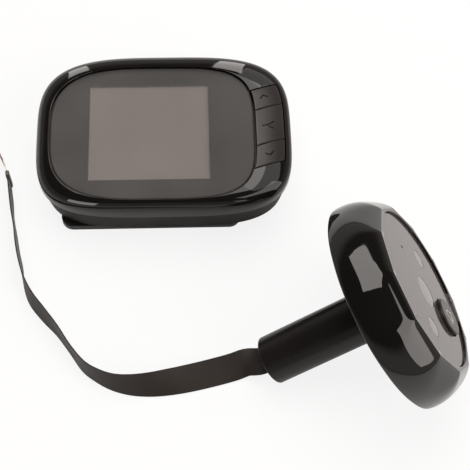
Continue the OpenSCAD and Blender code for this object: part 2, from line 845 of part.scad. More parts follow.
module camera_window() {
    color("#8f8984") on_face() difference() {
        post([0, 0], face_window_d / 2, window_back, face_z_local);
        post(lens_place, lens_hole, window_back - cut, face_z_local + cut);
        for (side = [-1, 1])
            post(lens_place + [side * led_x, 0], led_d / 2 + face_gap, window_back - cut, face_z_local + cut);
        post(bell_place, bell_d / 2 + 2 * face_gap, window_back - cut, face_z_local + cut);
        post(mic_place, mic_hole, window_back - cut, face_z_local + cut);
    }
}

module lens_glass() {
    color("#3c3a40") on_face() post(lens_place, lens_d / 2, window_back, face_z_local);
}

module lens_holder() {
    holder_wall = 1.6;
    lens_lip = 0.2;
    color("#1a1a1a") on_face() difference() {
        post(lens_place, lens_d / 2 + holder_wall, camera_board_top, window_back - seat_gap / 2);
        post(lens_place, lens_d / 2 - lens_lip, camera_board_top - cut, window_back);
    }
}

module image_sensor() {
    sensor_w = 5;
    sensor_t = 1.2;
    color("#30343c") on_face() block(lens_place, [sensor_w, sensor_w, sensor_t], camera_board_top);
}

module led_covers() {
    color("#a8a29c") on_face() for (side = [-1, 1])
        post(lens_place + [side * led_x, 0], led_d / 2, window_back, face_z_local);
}

module ir_leds() {
    flange_inset = 0.2;
    dome_inset = 0.5;
    dome_drop = 2.4;
    color("#403c48") on_face() for (side = [-1, 1]) translate([side * led_x, -lens_drop, 0]) {
        post([0, 0], led_d / 2 - flange_inset, camera_board_top, window_back - dome_drop);
        translate([0, 0, window_back - dome_drop]) sphere(r = led_d / 2 - dome_inset);
    }
}

module camera_board() {
    color("#1f4d2e") on_face() post([0, 0], camera_board_r, camera_board_z, camera_board_top);
}

// The ribbon's socket hangs from the board inside the barrel's flange
module board_connector() {
    color("#d8d2c2") on_unit()
        block([0, ribbon_shift / 2], [connector_t, ribbon_w + 2 * connector_side, connector_drop],
            camera_board_z - connector_drop);
}

module bell_button() {
    color("#4a4644") on_face() {
        post(bell_place, bell_d / 2, bell_flange_z, front_z + bell_proud);
        post(bell_place, bell_d / 2 + bell_flange, bell_flange_z, bell_flange_z + bell_flange_t);
    }
}

module bell_switch() {
    side = 6;
    plunger_r = 1.7;
    plunger_len = 1.4;
    plunger_top = bell_flange_z - bell_travel - seat_gap / 2;
    color("#2a2a2a") on_face() {
        block(bell_place, [side, side, plunger_top - plunger_len - camera_board_top], camera_board_top);
        post(bell_place, plunger_r, camera_board_top, plunger_top);
    }
}

module microphone() {
    mic_t = 1.5;
    mic_r = 2;
    mic_top = window_back - seat_gap / 2;
    color("#b8b4ac") on_face() post(mic_place, mic_r, mic_top - mic_t, mic_top);
}

module housing_screws() {
    color("#6d6b68") on_face() housing_screw_places() difference() {
        union() {
            post([0, 0], screw_head_d / 2, barrel_len + screw_gap, barrel_len + screw_head_t);
            post([0, 0], screw_d / 2, barrel_len + screw_gap, dome_z + housing_screw_len - housing_boss_end);
        }
        translate([0, 0, barrel_len + screw_gap]) screw_cross();
    }
}

module ribbon_inner() {
    color("#37302e") on_unit()
        block([0, ribbon_shift], [ribbon_t, ribbon_w, camera_board_z - connector_drop], 0);
}

// Corners of the ribbon's cross-section at a place, for its run and its turn about that run
function ribbon_ring(place, run, turn) =
    let (flat = flat_across(run),
        over = cross(flat, run),
        wide = (flat * cos(turn) + over * sin(turn)) * ribbon_w / 2,
        thin = (over * cos(turn) - flat * sin(turn)) * ribbon_t / 2)
    [place + wide + thin, place - wide + thin, place - wide - thin, place + wide - thin];

axis = [cos(rest_tilt) * cos(unit_turn), cos(rest_tilt) * sin(unit_turn), sin(rest_tilt)];
ribbon_points = concat(
    [concat(ribbon_start + axis * ribbon_lead, [0]), concat(ribbon_start, [0])],
    ribbon_route,
    [2 * ribbon_route[len(ribbon_route) - 1] - ribbon_route[len(ribbon_route) - 2]]);
ribbon_curve = concat(
    [for (k = [1 : len(ribbon_points) - 3], i = [0 : ribbon_steps - 1])
        curve_at(ribbon_points[k - 1], ribbon_points[k], ribbon_points[k + 1], ribbon_points[k + 2],
            i / ribbon_steps)],
    [ribbon_points[len(ribbon_points) - 2]]);
function place_of(p) = [p[0], p[1], p[2]];
function run_at(k) =
    k == 0 ? -axis
    : unit(place_of(ribbon_curve[min(k + 1, len(ribbon_curve) - 1)]) - place_of(ribbon_curve[k - 1]));

module ribbon_cable() {
    color("#37302e") loft([for (k = [0 : len(ribbon_curve) - 1])
        ribbon_ring(place_of(ribbon_curve[k]), run_at(k), ribbon_curve[k][3])]);
}

// Stands a piece on the ribbon's far end, turned to the left of +Y, with +Y along the piece
ribbon_end = place_of(ribbon_curve[len(ribbon_curve) - 1]);
function leaf_way(turn) = [-sin(turn), cos(turn), 0];
tongue_start = ribbon_end + plug_len * leaf_way(plug_turn) + leaf_gap * leaf_way(tongue_turn);
tab_start = tongue_start + tongue_len * leaf_way(tongue_turn) + leaf_gap * leaf_way(tab_turn);

module standing_leaf(start, turn, len, thick, tall) {
    translate([start[0], start[1], ribbon_end[2] - tall / 2]) rotate([0, 0, turn])
        translate([-thick / 2, 0, 0]) cube([thick, len, tall]);
}

module ribbon_plug() {
    color("#1b1817") standing_leaf(ribbon_end, plug_turn, plug_len, plug_t, plug_h);
}

module plug_contacts() {
    color("#c9b27a") standing_leaf(tongue_start, tongue_turn, tongue_len, tongue_t, tongue_h);
}

module pull_tab() {
    color("#5a4638") standing_leaf(tab_start, tab_turn, tab_len, tab_t, tab_h);
}

wall_bracket();
front_casing();
rear_casing();
screen_window();
display_frame();
display_glass();
main_board();
cable_socket();
tact_switches();
button_up();
button_view();
button_down();
speaker();
battery_cells();
battery_contacts();
battery_door();
casing_screws();
camera_housing();
camera_back();
barrel_tube();
housing_seal();
camera_window();
lens_glass();
lens_holder();
image_sensor();
led_covers();
ir_leds();
camera_board();
board_connector();
bell_button();
bell_switch();
microphone();
housing_screws();
ribbon_inner();
ribbon_cable();
ribbon_plug();
plug_contacts();
pull_tab();
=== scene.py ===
import json
import math

import bmesh
import bpy
import numpy as np
from mathutils import Matrix, Vector


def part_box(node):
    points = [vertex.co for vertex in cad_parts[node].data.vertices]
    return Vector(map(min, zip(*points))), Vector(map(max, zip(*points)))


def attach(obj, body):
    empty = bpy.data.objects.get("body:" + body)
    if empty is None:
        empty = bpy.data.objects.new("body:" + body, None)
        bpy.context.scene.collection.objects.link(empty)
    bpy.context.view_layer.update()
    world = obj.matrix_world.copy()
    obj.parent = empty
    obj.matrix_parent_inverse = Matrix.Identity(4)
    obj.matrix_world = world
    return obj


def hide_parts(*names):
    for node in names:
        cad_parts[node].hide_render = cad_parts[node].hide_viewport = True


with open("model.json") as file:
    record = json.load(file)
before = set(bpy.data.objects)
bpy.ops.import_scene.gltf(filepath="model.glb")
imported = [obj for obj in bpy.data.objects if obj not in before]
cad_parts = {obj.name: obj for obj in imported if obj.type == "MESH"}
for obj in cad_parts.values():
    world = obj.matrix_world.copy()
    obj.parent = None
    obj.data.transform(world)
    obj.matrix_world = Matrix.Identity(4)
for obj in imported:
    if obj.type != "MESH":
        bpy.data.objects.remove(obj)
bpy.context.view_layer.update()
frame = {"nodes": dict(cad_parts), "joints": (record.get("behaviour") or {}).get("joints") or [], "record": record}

# Looks of a peephole door camera: the monitor, the outdoor unit and the flat ribbon.
# Sizes are in millimetres, in the frame's own axes, and MM turns them into Blender's metres.
MM = 0.001
scene = bpy.context.scene
scene.view_settings.view_transform = "Standard"


# Camera at the photograph's place

EYE = (11.8157, -165.3142, 303.0312)
LOOK = (0.04000917, 0.42072017, -0.90630779)
UP = (0.01771972, 0.90659265, 0.42163465)
LENS = 84.4436
SENSOR = 36.0


def make_camera():
    data = bpy.data.cameras.new("camera")
    data.lens = LENS
    data.sensor_width = SENSOR
    data.clip_start = 0.01
    data.clip_end = 100.0
    camera = bpy.data.objects.new("camera", data)
    look, up = Vector(LOOK), Vector(UP)
    turn = Matrix((look.cross(up), up, -look)).transposed().to_4x4()
    camera.matrix_world = Matrix.Translation(Vector(EYE) * MM) @ turn
    scene.collection.objects.link(camera)
    scene.camera = camera


make_camera()


# Mesh tools

SQUARE = np.array([(-1, -1), (1, -1), (1, 1), (-1, 1)])
# Middle point of a small rounded edge, as a share of its radius
ROUND_MID = 0.3


def loft(rings, closed=False):
    """Points and faces through a list of rings, with flat ends unless the rings close on themselves."""
    count, total = len(rings[0]), len(rings)
    faces = []
    for i in range(total if closed else total - 1):
        low, high = i * count, (i + 1) % total * count
        for k in range(count):
            after = (k + 1) % count
            faces.append((low + k, low + after, high + after, high + k))
    if not closed:
        faces.append(tuple(range(count)))
        faces.append(tuple(range((total - 1) * count, total * count)))
    return np.vstack(rings), faces


def make_mesh(name, points, faces, *materials):
    """A mesh object from points in millimetres, with its normals outwards."""
    mesh = bpy.data.meshes.new(name)
    mesh.from_pydata((np.asarray(points, float) * MM).tolist(), [], faces)
    work = bmesh.new()
    work.from_mesh(mesh)
    bmesh.ops.recalc_face_normals(work, faces=work.faces)
    work.to_mesh(mesh)
    work.free()
    for material in materials:
        mesh.materials.append(material)
    obj = bpy.data.objects.new(name, mesh)
    scene.collection.objects.link(obj)
    return obj


def boolean(obj, other, operation="DIFFERENCE", overlapping=False):
    """Cuts, joins or intersects obj with another mesh, which is used up."""
    modifier = obj.modifiers.new("boolean", "BOOLEAN")
    modifier.object = other
    modifier.operation = operation
    modifier.solver = "EXACT"
    modifier.use_self = overlapping
    modifier.material_mode = "TRANSFER"
    graph = bpy.context.evaluated_depsgraph_get()
    mesh = bpy.data.meshes.new_from_object(obj.evaluated_get(graph))
    obj.modifiers.clear()
    obj.data = mesh
    bpy.data.objects.remove(other)


def joined(name, parts, *materials):
    """One mesh from several lists of points and faces."""
    points, faces, start = [], [], 0
    for part_points, part_faces in parts:
        points.append(np.asarray(part_points, float))
        faces += [tuple(start + k for k in face) for face in part_faces]
        start += len(part_points)
    return make_mesh(name, np.vstack(points), faces, *materials)


def level(flat, z):
    """Plane points at a height, or at one height each."""
    return np.column_stack([flat, np.broadcast_to(z, len(flat))])


def box(middle, size, low):
    """A block centred across and up that stands on a height, as in the part."""
    flat = SQUARE * np.array(size[:2]) / 2 + np.asarray(middle)
    return loft([level(flat, z) for z in (low, low + size[2])])


def polar(radius, around):
    """Plane points at a radius, or at one radius each, and angles."""
    return np.column_stack([radius * np.cos(around), radius * np.sin(around)])


def circle(sides):
    """Plane points of a circle of radius 1."""
    return polar(1, np.arange(sides) * 2 * math.pi / sides)


def post(middle, radius, low, high, sides=64):
    """A round post."""
    flat = circle(sides) * radius + np.asarray(middle)
    return loft([level(flat, z) for z in (low, high)])


def spun(profile, sides=96, closed=False):
    """A turned piece: (radius, height) from its lower face out and round to its upper face.
    closed joins the last point to the first, for a piece with a bore."""
    flat = circle(sides)
    return loft([level(flat * radius, z) for radius, z in profile], closed)


def fillet(corner, start, end, steps=4):
    """Points of a round corner between two profile points."""
    corner, start, end = (np.array(p, float) for p in (corner, start, end))
    angle = np.linspace(0, 1, steps + 1)[:, None] * math.pi / 2
    points = corner + (start - corner) * (1 - np.sin(angle)) + (end - corner) * (1 - np.cos(angle))
    return [tuple(p) for p in points]


def dress(obj, body, slot, *nodes, sharp_degrees=35.0):
    """Shades a piece smooth between hard edges, gives it its body and hides the nodes it stands for. slot is not
    used.
    """
    obj.data.shade_smooth()
    obj.data.set_sharp_from_angle(angle=math.radians(sharp_degrees))
    modifier = obj.modifiers.new("normals", "WEIGHTED_NORMAL")
    modifier.keep_sharp = True
    modifier.weight = 100
    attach(obj, body)
    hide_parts(*nodes)
    return obj


# Materials

# Shares by which gloss, dust and smears vary, and the size of dust and smears as a number in a metre
GLOSS_SHARE, DUST_SHARE, SMEAR_SHARE = 0.15, 0.06, 0.2
DUST_SCALE, SMEAR_SCALE = 900.0, 45.0


def new_material(name):
    material = bpy.data.materials.new(name)
    material.use_nodes = True
    shader = material.node_tree.nodes["Principled BSDF"]
    return material, material.node_tree, shader


def set_inputs(node, values):
    """Sets plain values on a node's own sockets, by their names."""
    for name, value in values.items():
        node.inputs[name].default_value = value


def noise(tree, scale, detail=3.0):
    """A noise texture in the object's own metres."""
    place = tree.nodes.new("ShaderNodeTexCoord")
    texture = tree.nodes.new("ShaderNodeTexNoise")
    set_inputs(texture, {"Scale": scale, "Detail": detail})
    tree.links.new(place.outputs["Object"], texture.inputs["Vector"])
    return texture.outputs["Fac"]


def ramp(tree, value, low_colour, high_colour, low=0.35, high=0.65):
    """A colour between two, by a value."""
    node = tree.nodes.new("ShaderNodeValToRGB")
    node.color_ramp.elements[0].position = low
    node.color_ramp.elements[0].color = (*low_colour, 1)
    node.color_ramp.elements[1].position = high
    node.color_ramp.elements[1].color = (*high_colour, 1)
    tree.links.new(value, node.inputs["Fac"])
    return node.outputs["Color"]


def spread(tree, value, low, high):
    """A number between two, by a value."""
    node = tree.nodes.new("ShaderNodeMapRange")
    set_inputs(node, {"From Min": 0.3, "From Max": 0.7, "To Min": low, "To Max": high})
    tree.links.new(value, node.inputs["Value"])
    return node.outputs["Result"]


def bump(tree, shader, value, depth, strength=0.5):
    node = tree.nodes.new("ShaderNodeBump")
    set_inputs(node, {"Strength": strength, "Distance": depth})
    tree.links.new(value, node.inputs["Height"])
    tree.links.new(node.outputs["Normal"], shader.inputs["Normal"])


def varied(tree, shader, colour, colour_by, mottle, roughness, gloss_by, cloudy):
    """Sets a colour and a roughness that vary by a share to either side, each by a value."""
    low, high = np.multiply(colour, 1 - mottle), np.multiply(colour, 1 + mottle)
    tree.links.new(ramp(tree, colour_by, low, high), shader.inputs["Base Color"])
    low, high = roughness * (1 - cloudy), roughness * (1 + cloudy)
    tree.links.new(spread(tree, gloss_by, low, high), shader.inputs["Roughness"])


def moulded(name, colour, roughness, grain, depth, mottle=0.12, cloud=60.0, specular=0.5, metallic=0.0,
            coat=0.0):
    """Moulded plastic, film or metal: a mottled colour, a cloudy gloss and a fine grain.
    grain is the number of bumps in a metre and depth their height in metres."""
    material, tree, shader = new_material(name)
    fine = noise(tree, grain)
    broad = noise(tree, cloud)
    varied(tree, shader, colour, broad, mottle, roughness, broad, GLOSS_SHARE)
    set_inputs(shader, {"Specular IOR Level": specular, "Metallic": metallic, "Coat Weight": coat,
                        "Coat Roughness": 0.04})
    bump(tree, shader, fine, depth)
    return material


def smoked(name, colour, alpha, specular, roughness):
    """Smoked acrylic with faint dust and smears. Alpha 1 hides what lies under it, and less lets it show."""
    material, tree, shader = new_material(name)
    dust, smears = noise(tree, DUST_SCALE), noise(tree, SMEAR_SCALE)
    varied(tree, shader, colour, dust, DUST_SHARE, roughness, smears, SMEAR_SHARE)
    set_inputs(shader, {"Specular IOR Level": specular, "Alpha": alpha})
    return material


gloss_black = moulded("gloss_black", (0.005, 0.0043, 0.004), 0.035, 2500.0, 1e-7, mottle=0.08, specular=0.55)
casing_black = moulded("casing_black", (0.005, 0.0043, 0.004), 0.04, 2500.0, 1e-7, mottle=0.08, specular=0.33)
satin_black = moulded("satin_black", (0.018, 0.016, 0.0155), 0.3, 5000.0, 4e-6)
barrel_black = moulded("barrel_black", (0.012, 0.0105, 0.01), 0.22, 4000.0, 1.5e-6, specular=0.25)
rear_brown = moulded("rear_brown", (0.014, 0.0112, 0.0098), 0.45, 5200.0, 3e-6, specular=0.1)
button_grey = moulded("button_grey", (0.024, 0.0205, 0.019), 0.34, 5600.0, 3e-6, specular=0.4)
bell_black = moulded("bell_black", (0.014, 0.0115, 0.0105), 0.3, 5200.0, 1e-6, specular=0.25)
# Painted shade: the engraved signs' grooves are darker and duller than the caps, standing in for the shade inside
# them
painted_groove_shade = moulded("painted_groove_shade", (0.006, 0.0055, 0.005), 0.55, 5000.0, 3e-6, specular=0.03)
icon_pale = moulded("icon_pale", (0.62, 0.6, 0.58), 0.35, 4000.0, 2e-6)
screen_mask = moulded("screen_mask", (0.02, 0.018, 0.016), 0.5, 4200.0, 1e-7, mottle=0.02, specular=0.1)
# Painted light: the display's grey is lighter than an unlit screen, standing in for the lit screen
display_painted_lit_grey = moulded("display_painted_lit_grey", (0.375, 0.323, 0.307), 0.45, 3800.0, 1e-7, mottle=0.015, cloud=35.0,
                       specular=0.1)
steel = moulded("steel", (0.52, 0.51, 0.49), 0.3, 3000.0, 3e-6, metallic=1.0)
board_green = moulded("board_green", (0.008, 0.034, 0.016), 0.35, 2600.0, 5e-6, mottle=0.3, cloud=260.0)
socket_cream = moulded("socket_cream", (0.68, 0.63, 0.52), 0.4, 4200.0, 4e-6)
cell_wrap = moulded("cell_wrap", (0.24, 0.2, 0.07), 0.3, 3000.0, 3e-6, coat=0.4)
rubber = moulded("rubber", (0.02, 0.02, 0.02), 0.6, 4600.0, 8e-6)
lamp_resin = moulded("lamp_resin", (0.09, 0.08, 0.11), 0.1, 2400.0, 1e-6)
lens_cover = moulded("lens_cover", (0.14, 0.13, 0.128), 0.06, 2400.0, 1e-7, mottle=0.04)
film_brown = moulded("film_brown", (0.026, 0.0205, 0.018), 0.45, 3600.0, 5e-6, specular=0.22)
tab_film = moulded("tab_film", (0.16, 0.12, 0.085), 0.35, 3600.0, 3e-6)
contact_gold = moulded("contact_gold", (0.72, 0.62, 0.4), 0.3, 3200.0, 2e-6, metallic=0.8)
window_smoke = smoked("window_smoke", (0.03, 0.025, 0.021), 0.24, 0.78, roughness=0.4)
face_smoke = smoked("face_smoke", (0.054, 0.044, 0.041), 1.0, 0.4, roughness=0.06)


# Axes of the outdoor unit, from the barrel's mount

def unit(v):
    return np.asarray(v, float) / np.linalg.norm(v)


mounts = {m["name"]: m for m in frame["record"]["mounts"]}
BARREL_AXIS = -unit(mounts["barrel"]["axis"])
# Place of the barrel's mount along the barrel, from its open end
MOUNT_UP = 18.5
BARREL_END = np.array(mounts["barrel"]["pos_m"]) / MM - MOUNT_UP * BARREL_AXIS
UNIT_SIDE = unit((-BARREL_AXIS[1], BARREL_AXIS[0], 0))
UNIT_DOWN = np.cross(UNIT_SIDE, BARREL_AXIS)


# Ribbon cable

RIBBON_W = 8.0
RIBBON_T = 0.35
RIBBON_SHIFT = 0.9
RIBBON_LEAD = 3.0
RIBBON_STEPS = 8
RIBBON_START = BARREL_END + RIBBON_SHIFT * UNIT_SIDE
# The same route as the part's: place across, place up, height and turn in degrees
RIBBON_ROUTE = [
    (30.6, -66.3, 4.2, 4), (27, -66, 2.6, 10), (23.1, -67, 1.6, 16), (17.2, -68.6, 1.8, 22),
    (10.5, -70.2, 2.2, 28), (5, -71.3, 2.7, 36), (-0.5, -72.1, 3.3, 48), (-6, -72.2, 3.8, 60),
    (-11.1, -71.3, 4.1, 71), (-15.6, -69.2, 4.2, 78), (-19.3, -66.4, 4.2, 82), (-23.1, -61.3, 4.2, 86),
    (-26.8, -55.8, 4.2, 83), (-31, -50.7, 4.2, 77), (-34.8, -45.6, 4.2, 77), (-37.1, -40.2, 4.2, 84),
    (-38.3, -34.8, 4.2, 92), (-39.5, -29.4, 4.2, 91), (-40.4, -23.9, 4.2, 89), (-41.5, -18.4, 4.2, 89),
    (-42.2, -12.9, 4.2, 91), (-43, -7.4, 4.2, 90)]


def ribbon_curve():
    """Places and turns along the ribbon, on a smooth curve through the route's points."""
    route = np.array(RIBBON_ROUTE, float)
    lead = np.append(RIBBON_START + RIBBON_LEAD * BARREL_AXIS, 0)
    points = np.vstack([lead, np.append(RIBBON_START, 0), route, 2 * route[-1] - route[-2]])
    curve = []
    for k in range(1, len(points) - 2):
        a, b, c, d = points[k - 1:k + 3]
        for u in np.arange(RIBBON_STEPS) / RIBBON_STEPS:
            curve.append(0.5 * (2 * b + (c - a) * u + (2 * a - 5 * b + 4 * c - d) * u * u
                                + (3 * b - a - 3 * c + d) * u ** 3))
    curve.append(points[-2])
    return np.array(curve)


def ribbon_section():
    """Flat section with round edges: places across and through the ribbon."""
    half_t = RIBBON_T / 2
    reach = RIBBON_W / 2 - half_t
    edge = [(reach + half_t * math.cos(a), half_t * math.sin(a)) for a in np.radians([-90, -45, 0, 45, 90])]
    inner = [(reach * s, half_t) for s in (0.5, 0, -0.5)]
    half = edge + inner
    return half + [(-x, -y) for x, y in half]


def make_ribbon():
    curve = ribbon_curve()
    places = curve[:, :3]
    runs = np.gradient(places, axis=0)
    runs[0] = -BARREL_AXIS
    rings = []
    for place, run, turn in zip(places, runs, np.radians(curve[:, 3])):
        run = unit(run)
        flat = unit(np.cross(run, (0, 0, 1)))
        over = np.cross(flat, run)
        wide = flat * math.cos(turn) + over * math.sin(turn)
        thin = over * math.cos(turn) - flat * math.sin(turn)
        rings.append(np.array([place + wide * x + thin * y for x, y in ribbon_section()]))
    ribbon = make_mesh("ribbon_film", *loft(rings), film_brown)
    dress(ribbon, "outdoor_unit", "ribbon_film", "ribbon_cable")
    length = np.linalg.norm(np.diff(places, axis=0), axis=1).sum()
    return ribbon, places, length


ribbon, ribbon_places, ribbon_length = make_ribbon()


# Pieces that stand on the ribbon's far end

PLUG_TURN, TONGUE_TURN, TAB_TURN = 8.0, 20.0, 26.0
PLUG_LEN, TONGUE_LEN, TAB_LEN = 1.8, 4.4, 5.0
PLUG_T, TONGUE_T, TAB_T = 1.1, 0.35, 0.2
PLUG_H, TONGUE_H, TAB_H = 8.0, 7.0, 6.0
PLUG_EDGE, THIN_EDGE = 0.12, 0.03
LEAF_GAP = 0.1
# Corner radius of a leaf, as a share of its shorter side
LEAF_CORNER = 0.12
RIBBON_END = ribbon_places[-1]
# How much thinner the tongue is than its node, and how far under the node's face its fingers start
FINGER_ROOM, FINGER_ROOT = 0.14, 0.09
FINGERS = 7
# Length and height of a finger, as shares of the tongue's length and of the pitch
FINGER_LONG, FINGER_TALL = 0.86, 0.62
FINGER_WALL, FINGER_OUT, FINGER_EDGE, FINGER_CORNER = 0.05, 0.07, 0.06, 0.12


def leaf_way(turn):
    return np.array([-math.sin(math.radians(turn)), math.cos(math.radians(turn)), 0])


def rounded_rect(width, height, radius, steps=4):
    """Corner-rounded rectangle as plane points."""
    points = []
    for sx, sy, first in ((1, 1, 0), (-1, 1, 90), (-1, -1, 180), (1, -1, 270)):
        corner = (sx * (width / 2 - radius), sy * (height / 2 - radius))
        points.append(corner + polar(radius, np.radians(np.linspace(first, first + 90, steps + 1))))
    return np.vstack(points)


def leaf_ring(start, turn, length, flat, out, rise=0):
    """A plane outline set on edge along a leaf, at a distance out from the leaf's middle."""
    along = leaf_way(turn)
    across = np.array([along[1], -along[0], 0])
    return np.array([start + along * (length / 2 + x) + across * out + np.array([0, 0, rise + y])
                     for x, y in flat])


def standing_leaf(start, turn, length, thick, tall, edge):
    """A leaf on edge: rounded outline along its length and height, with its thickness across."""
    half = thick / 2
    corner = min(tall, length) * LEAF_CORNER
    rings = []
    for out, inset in ((-half, edge), (edge - half, 0), (half - edge, 0), (half, edge)):
        flat = rounded_rect(length - 2 * inset, tall - 2 * inset, corner)
        rings.append(leaf_ring(start, turn, length, flat, out))
    return loft(rings)


def contact_fingers(start):
    """Raised gold fingers on both faces of the tongue, side by side up its height."""
    pitch = TONGUE_H / (FINGERS + 0.5)
    long, high = TONGUE_LEN * FINGER_LONG, pitch * FINGER_TALL
    root = TONGUE_T / 2 - FINGER_ROOT
    parts = []
    for side in (-1, 1):
        for k in range(FINGERS):
            rise = (k - (FINGERS - 1) / 2) * pitch
            rings = []
            for out, inset in ((0, 0), (FINGER_WALL, 0), (FINGER_OUT, FINGER_EDGE)):
                flat = rounded_rect(long - 2 * inset, high - 2 * inset, FINGER_CORNER)
                out = side * (root + out)
                rings.append(leaf_ring(start, TONGUE_TURN, TONGUE_LEN, flat, out, rise))
            parts.append(loft(rings))
    return parts


def make_ribbon_end():
    plug = make_mesh("ribbon_stiffener", *standing_leaf(
        RIBBON_END, PLUG_TURN, PLUG_LEN, PLUG_T, PLUG_H, PLUG_EDGE), satin_black)
    dress(plug, "outdoor_unit", "ribbon_film", "ribbon_plug")
    tongue_start = RIBBON_END + PLUG_LEN * leaf_way(PLUG_TURN) + LEAF_GAP * leaf_way(TONGUE_TURN)
    tongue = make_mesh("contact_tongue", *standing_leaf(
        tongue_start, TONGUE_TURN, TONGUE_LEN, TONGUE_T - FINGER_ROOM, TONGUE_H, THIN_EDGE),
        socket_cream)
    dress(tongue, "outdoor_unit", "contact_gold", "plug_contacts")
    fingers = joined("contact_fingers", contact_fingers(tongue_start), contact_gold)
    dress(fingers, "outdoor_unit", "contact_gold")
    tab_start = tongue_start + TONGUE_LEN * leaf_way(TONGUE_TURN) + LEAF_GAP * leaf_way(TAB_TURN)
    tab = make_mesh("pull_tab_film", *standing_leaf(
        tab_start, TAB_TURN, TAB_LEN, TAB_T, TAB_H, THIN_EDGE), tab_film)
    dress(tab, "outdoor_unit", "ribbon_film", "pull_tab")
    return [plug, tongue, fingers, tab]


ribbon_end_pieces = make_ribbon_end()


# Outlines of the monitor

OUTLINE_POINTS = 240
BODY_POWERS = (3.7, 3.35, 3.9, 3.8)
WINDOW_POWERS = (4, 3.1, 3.1, 4)
WINDOW_GAP = 0.3
WALL = 1.5
REAR_INSET = 1.4
PART_STEP = 0.25


def node_box(node):
    """Lowest and highest corner of a node in millimetres."""
    low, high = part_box(node)
    return np.array(low) / MM, np.array(high) / MM


def outline_of(node, powers):
    """A node's outline: half width, half height, middle across, middle up and corner powers."""
    low, high = node_box(node)
    half, middle = (high - low) / 2, (high + low) / 2
    return half[0], half[1], middle[0], middle[1], powers


def grow(outline, d):
    return (outline[0] + d, outline[1] + d, *outline[2:])


def outline_points(outline, angles):
    """Points of an outline at angles, whose corners follow the power of their quarter."""
    half_w, half_h, x, y, powers = outline
    c, s = np.cos(angles), np.sin(angles)
    quarter = np.floor(angles / (math.pi / 2) + 1e-9).astype(int) % 4
    power = 2 / np.array(powers, float)[quarter]
    return np.column_stack([x + half_w * np.sign(c) * np.abs(c) ** power,
                            y + half_h * np.sign(s) * np.abs(s) ** power])


def even_angles(outline, count):
    """Angles that space points evenly along each quarter of an outline."""
    steps, tiny = 4001, 1e-7
    angles = []
    for quarter in range(4):
        fine = (quarter + np.linspace(tiny, 1 - tiny, steps)) * math.pi / 2
        points = outline_points(outline, fine)
        run = np.append(0, np.cumsum(np.linalg.norm(np.diff(points, axis=0), axis=1)))
        angles.append(np.interp(np.arange(count // 4) / (count // 4) * run[-1], run, fine))
    return np.concatenate(angles)


BODY = outline_of("front_casing", BODY_POWERS)
WINDOW = outline_of("screen_window", WINDOW_POWERS)
POCKET = grow(WINDOW, WINDOW_GAP)
INSIDE = grow(BODY, -WALL)
REAR = grow(BODY, -REAR_INSET)
ANGLES = even_angles(BODY, OUTLINE_POINTS)

part_z, rim_z = (corner[2] for corner in node_box("front_casing"))
window_z, face_z = (corner[2] for corner in node_box("screen_window"))
rear_z = node_box("rear_casing")[0][2]
# Height of the rim's roll, and the dip and power that rolled() takes for it
RIM_ROLL, RIM_DIP, RIM_POWER = 5.0, 1.2, 2.6
roll_z = face_z - RIM_ROLL
inner_z = rear_z + WALL
LEDGE_T = 1.2
LEDGE_W = 2.0
SEAT = 0.1
ledge_z = window_z - SEAT - LEDGE_T


def ring(outline, z):
    return level(outline_points(outline, ANGLES), z)


def rolled(inner, outer, low, high, degrees, dip=0, power=2.0):
    """Rings of a rolled rim between two outlines, one at each angle of the roll.
    dip is how steeply the rim already falls at its inner edge, as a height over its whole width.
    power is the fullness of the roll, and 2 is a plain ellipse."""
    rings = []
    for t in np.radians(degrees):
        share = math.cos(t) ** (2 / power)
        flat = outline_points(inner, ANGLES) * (1 - share) + outline_points(outer, ANGLES) * share
        rings.append(level(flat, low + (high - low - dip * share) * math.sin(t) ** (2 / power)))
    return rings


# Buttons' lines, openings and the height of the rim over a place

SLANT_DEGREES = 22.0
SLANT = math.tan(math.radians(SLANT_DEGREES))
BUTTON_LINES = (14.1, 6.8, -5.4, -12.6)
BUTTON_GAP = 0.25
BUTTON_MARGIN = 2.2
BASE_X = WINDOW[2] + WINDOW[0]


def edge_x(outline, y):
    """Right edge of an outline at a height."""
    half_w, half_h, x, middle, powers = outline
    power = np.where(y >= middle, powers[0], powers[3])
    share = np.clip(np.abs(y - middle) / half_h, 0, 1)
    return x + half_w * (1 - share ** power) ** (1 / power)


def on_line(outline, start):
    """Where the slanted line that passes start at the base crosses an outline's right edge."""
    left_reach, halvings = 8.0, 50
    low = np.full(len(start), BASE_X - left_reach)
    high = np.full(len(start), BODY[2] + BODY[0])
    for _ in range(halvings):
        middle = (low + high) / 2
        inside = middle < edge_x(outline, start + (middle - BASE_X) * SLANT)
        low, high = np.where(inside, middle, low), np.where(inside, high, middle)
    return low


def rim_height(x, y):
    """Height of the rolled rim over places on the right side of the monitor."""
    share_halvings, turn_halvings = 30, 34
    x, y = np.asarray(x, float), np.asarray(y, float)
    share_low, share_high = np.zeros_like(x), np.ones_like(x)
    for _ in range(share_halvings):
        share = (share_low + share_high) / 2
        turn_low, turn_high = np.full_like(x, -math.pi / 2), np.full_like(x, math.pi / 2)
        for _ in range(turn_halvings):
            turn = (turn_low + turn_high) / 2
            flat = (outline_points(POCKET, turn) * (1 - share)[:, None]
                    + outline_points(BODY, turn) * share[:, None])
            below = flat[:, 1] < y
            turn_low, turn_high = np.where(below, turn, turn_low), np.where(below, turn_high, turn)
        left = flat[:, 0] < x
        share_low, share_high = np.where(left, share, share_low), np.where(left, share_high, share)
    share = np.clip(share, 0, 1)
    return roll_z + (rim_z - roll_z - RIM_DIP * share) * (1 - share ** RIM_POWER) ** (1 / RIM_POWER)


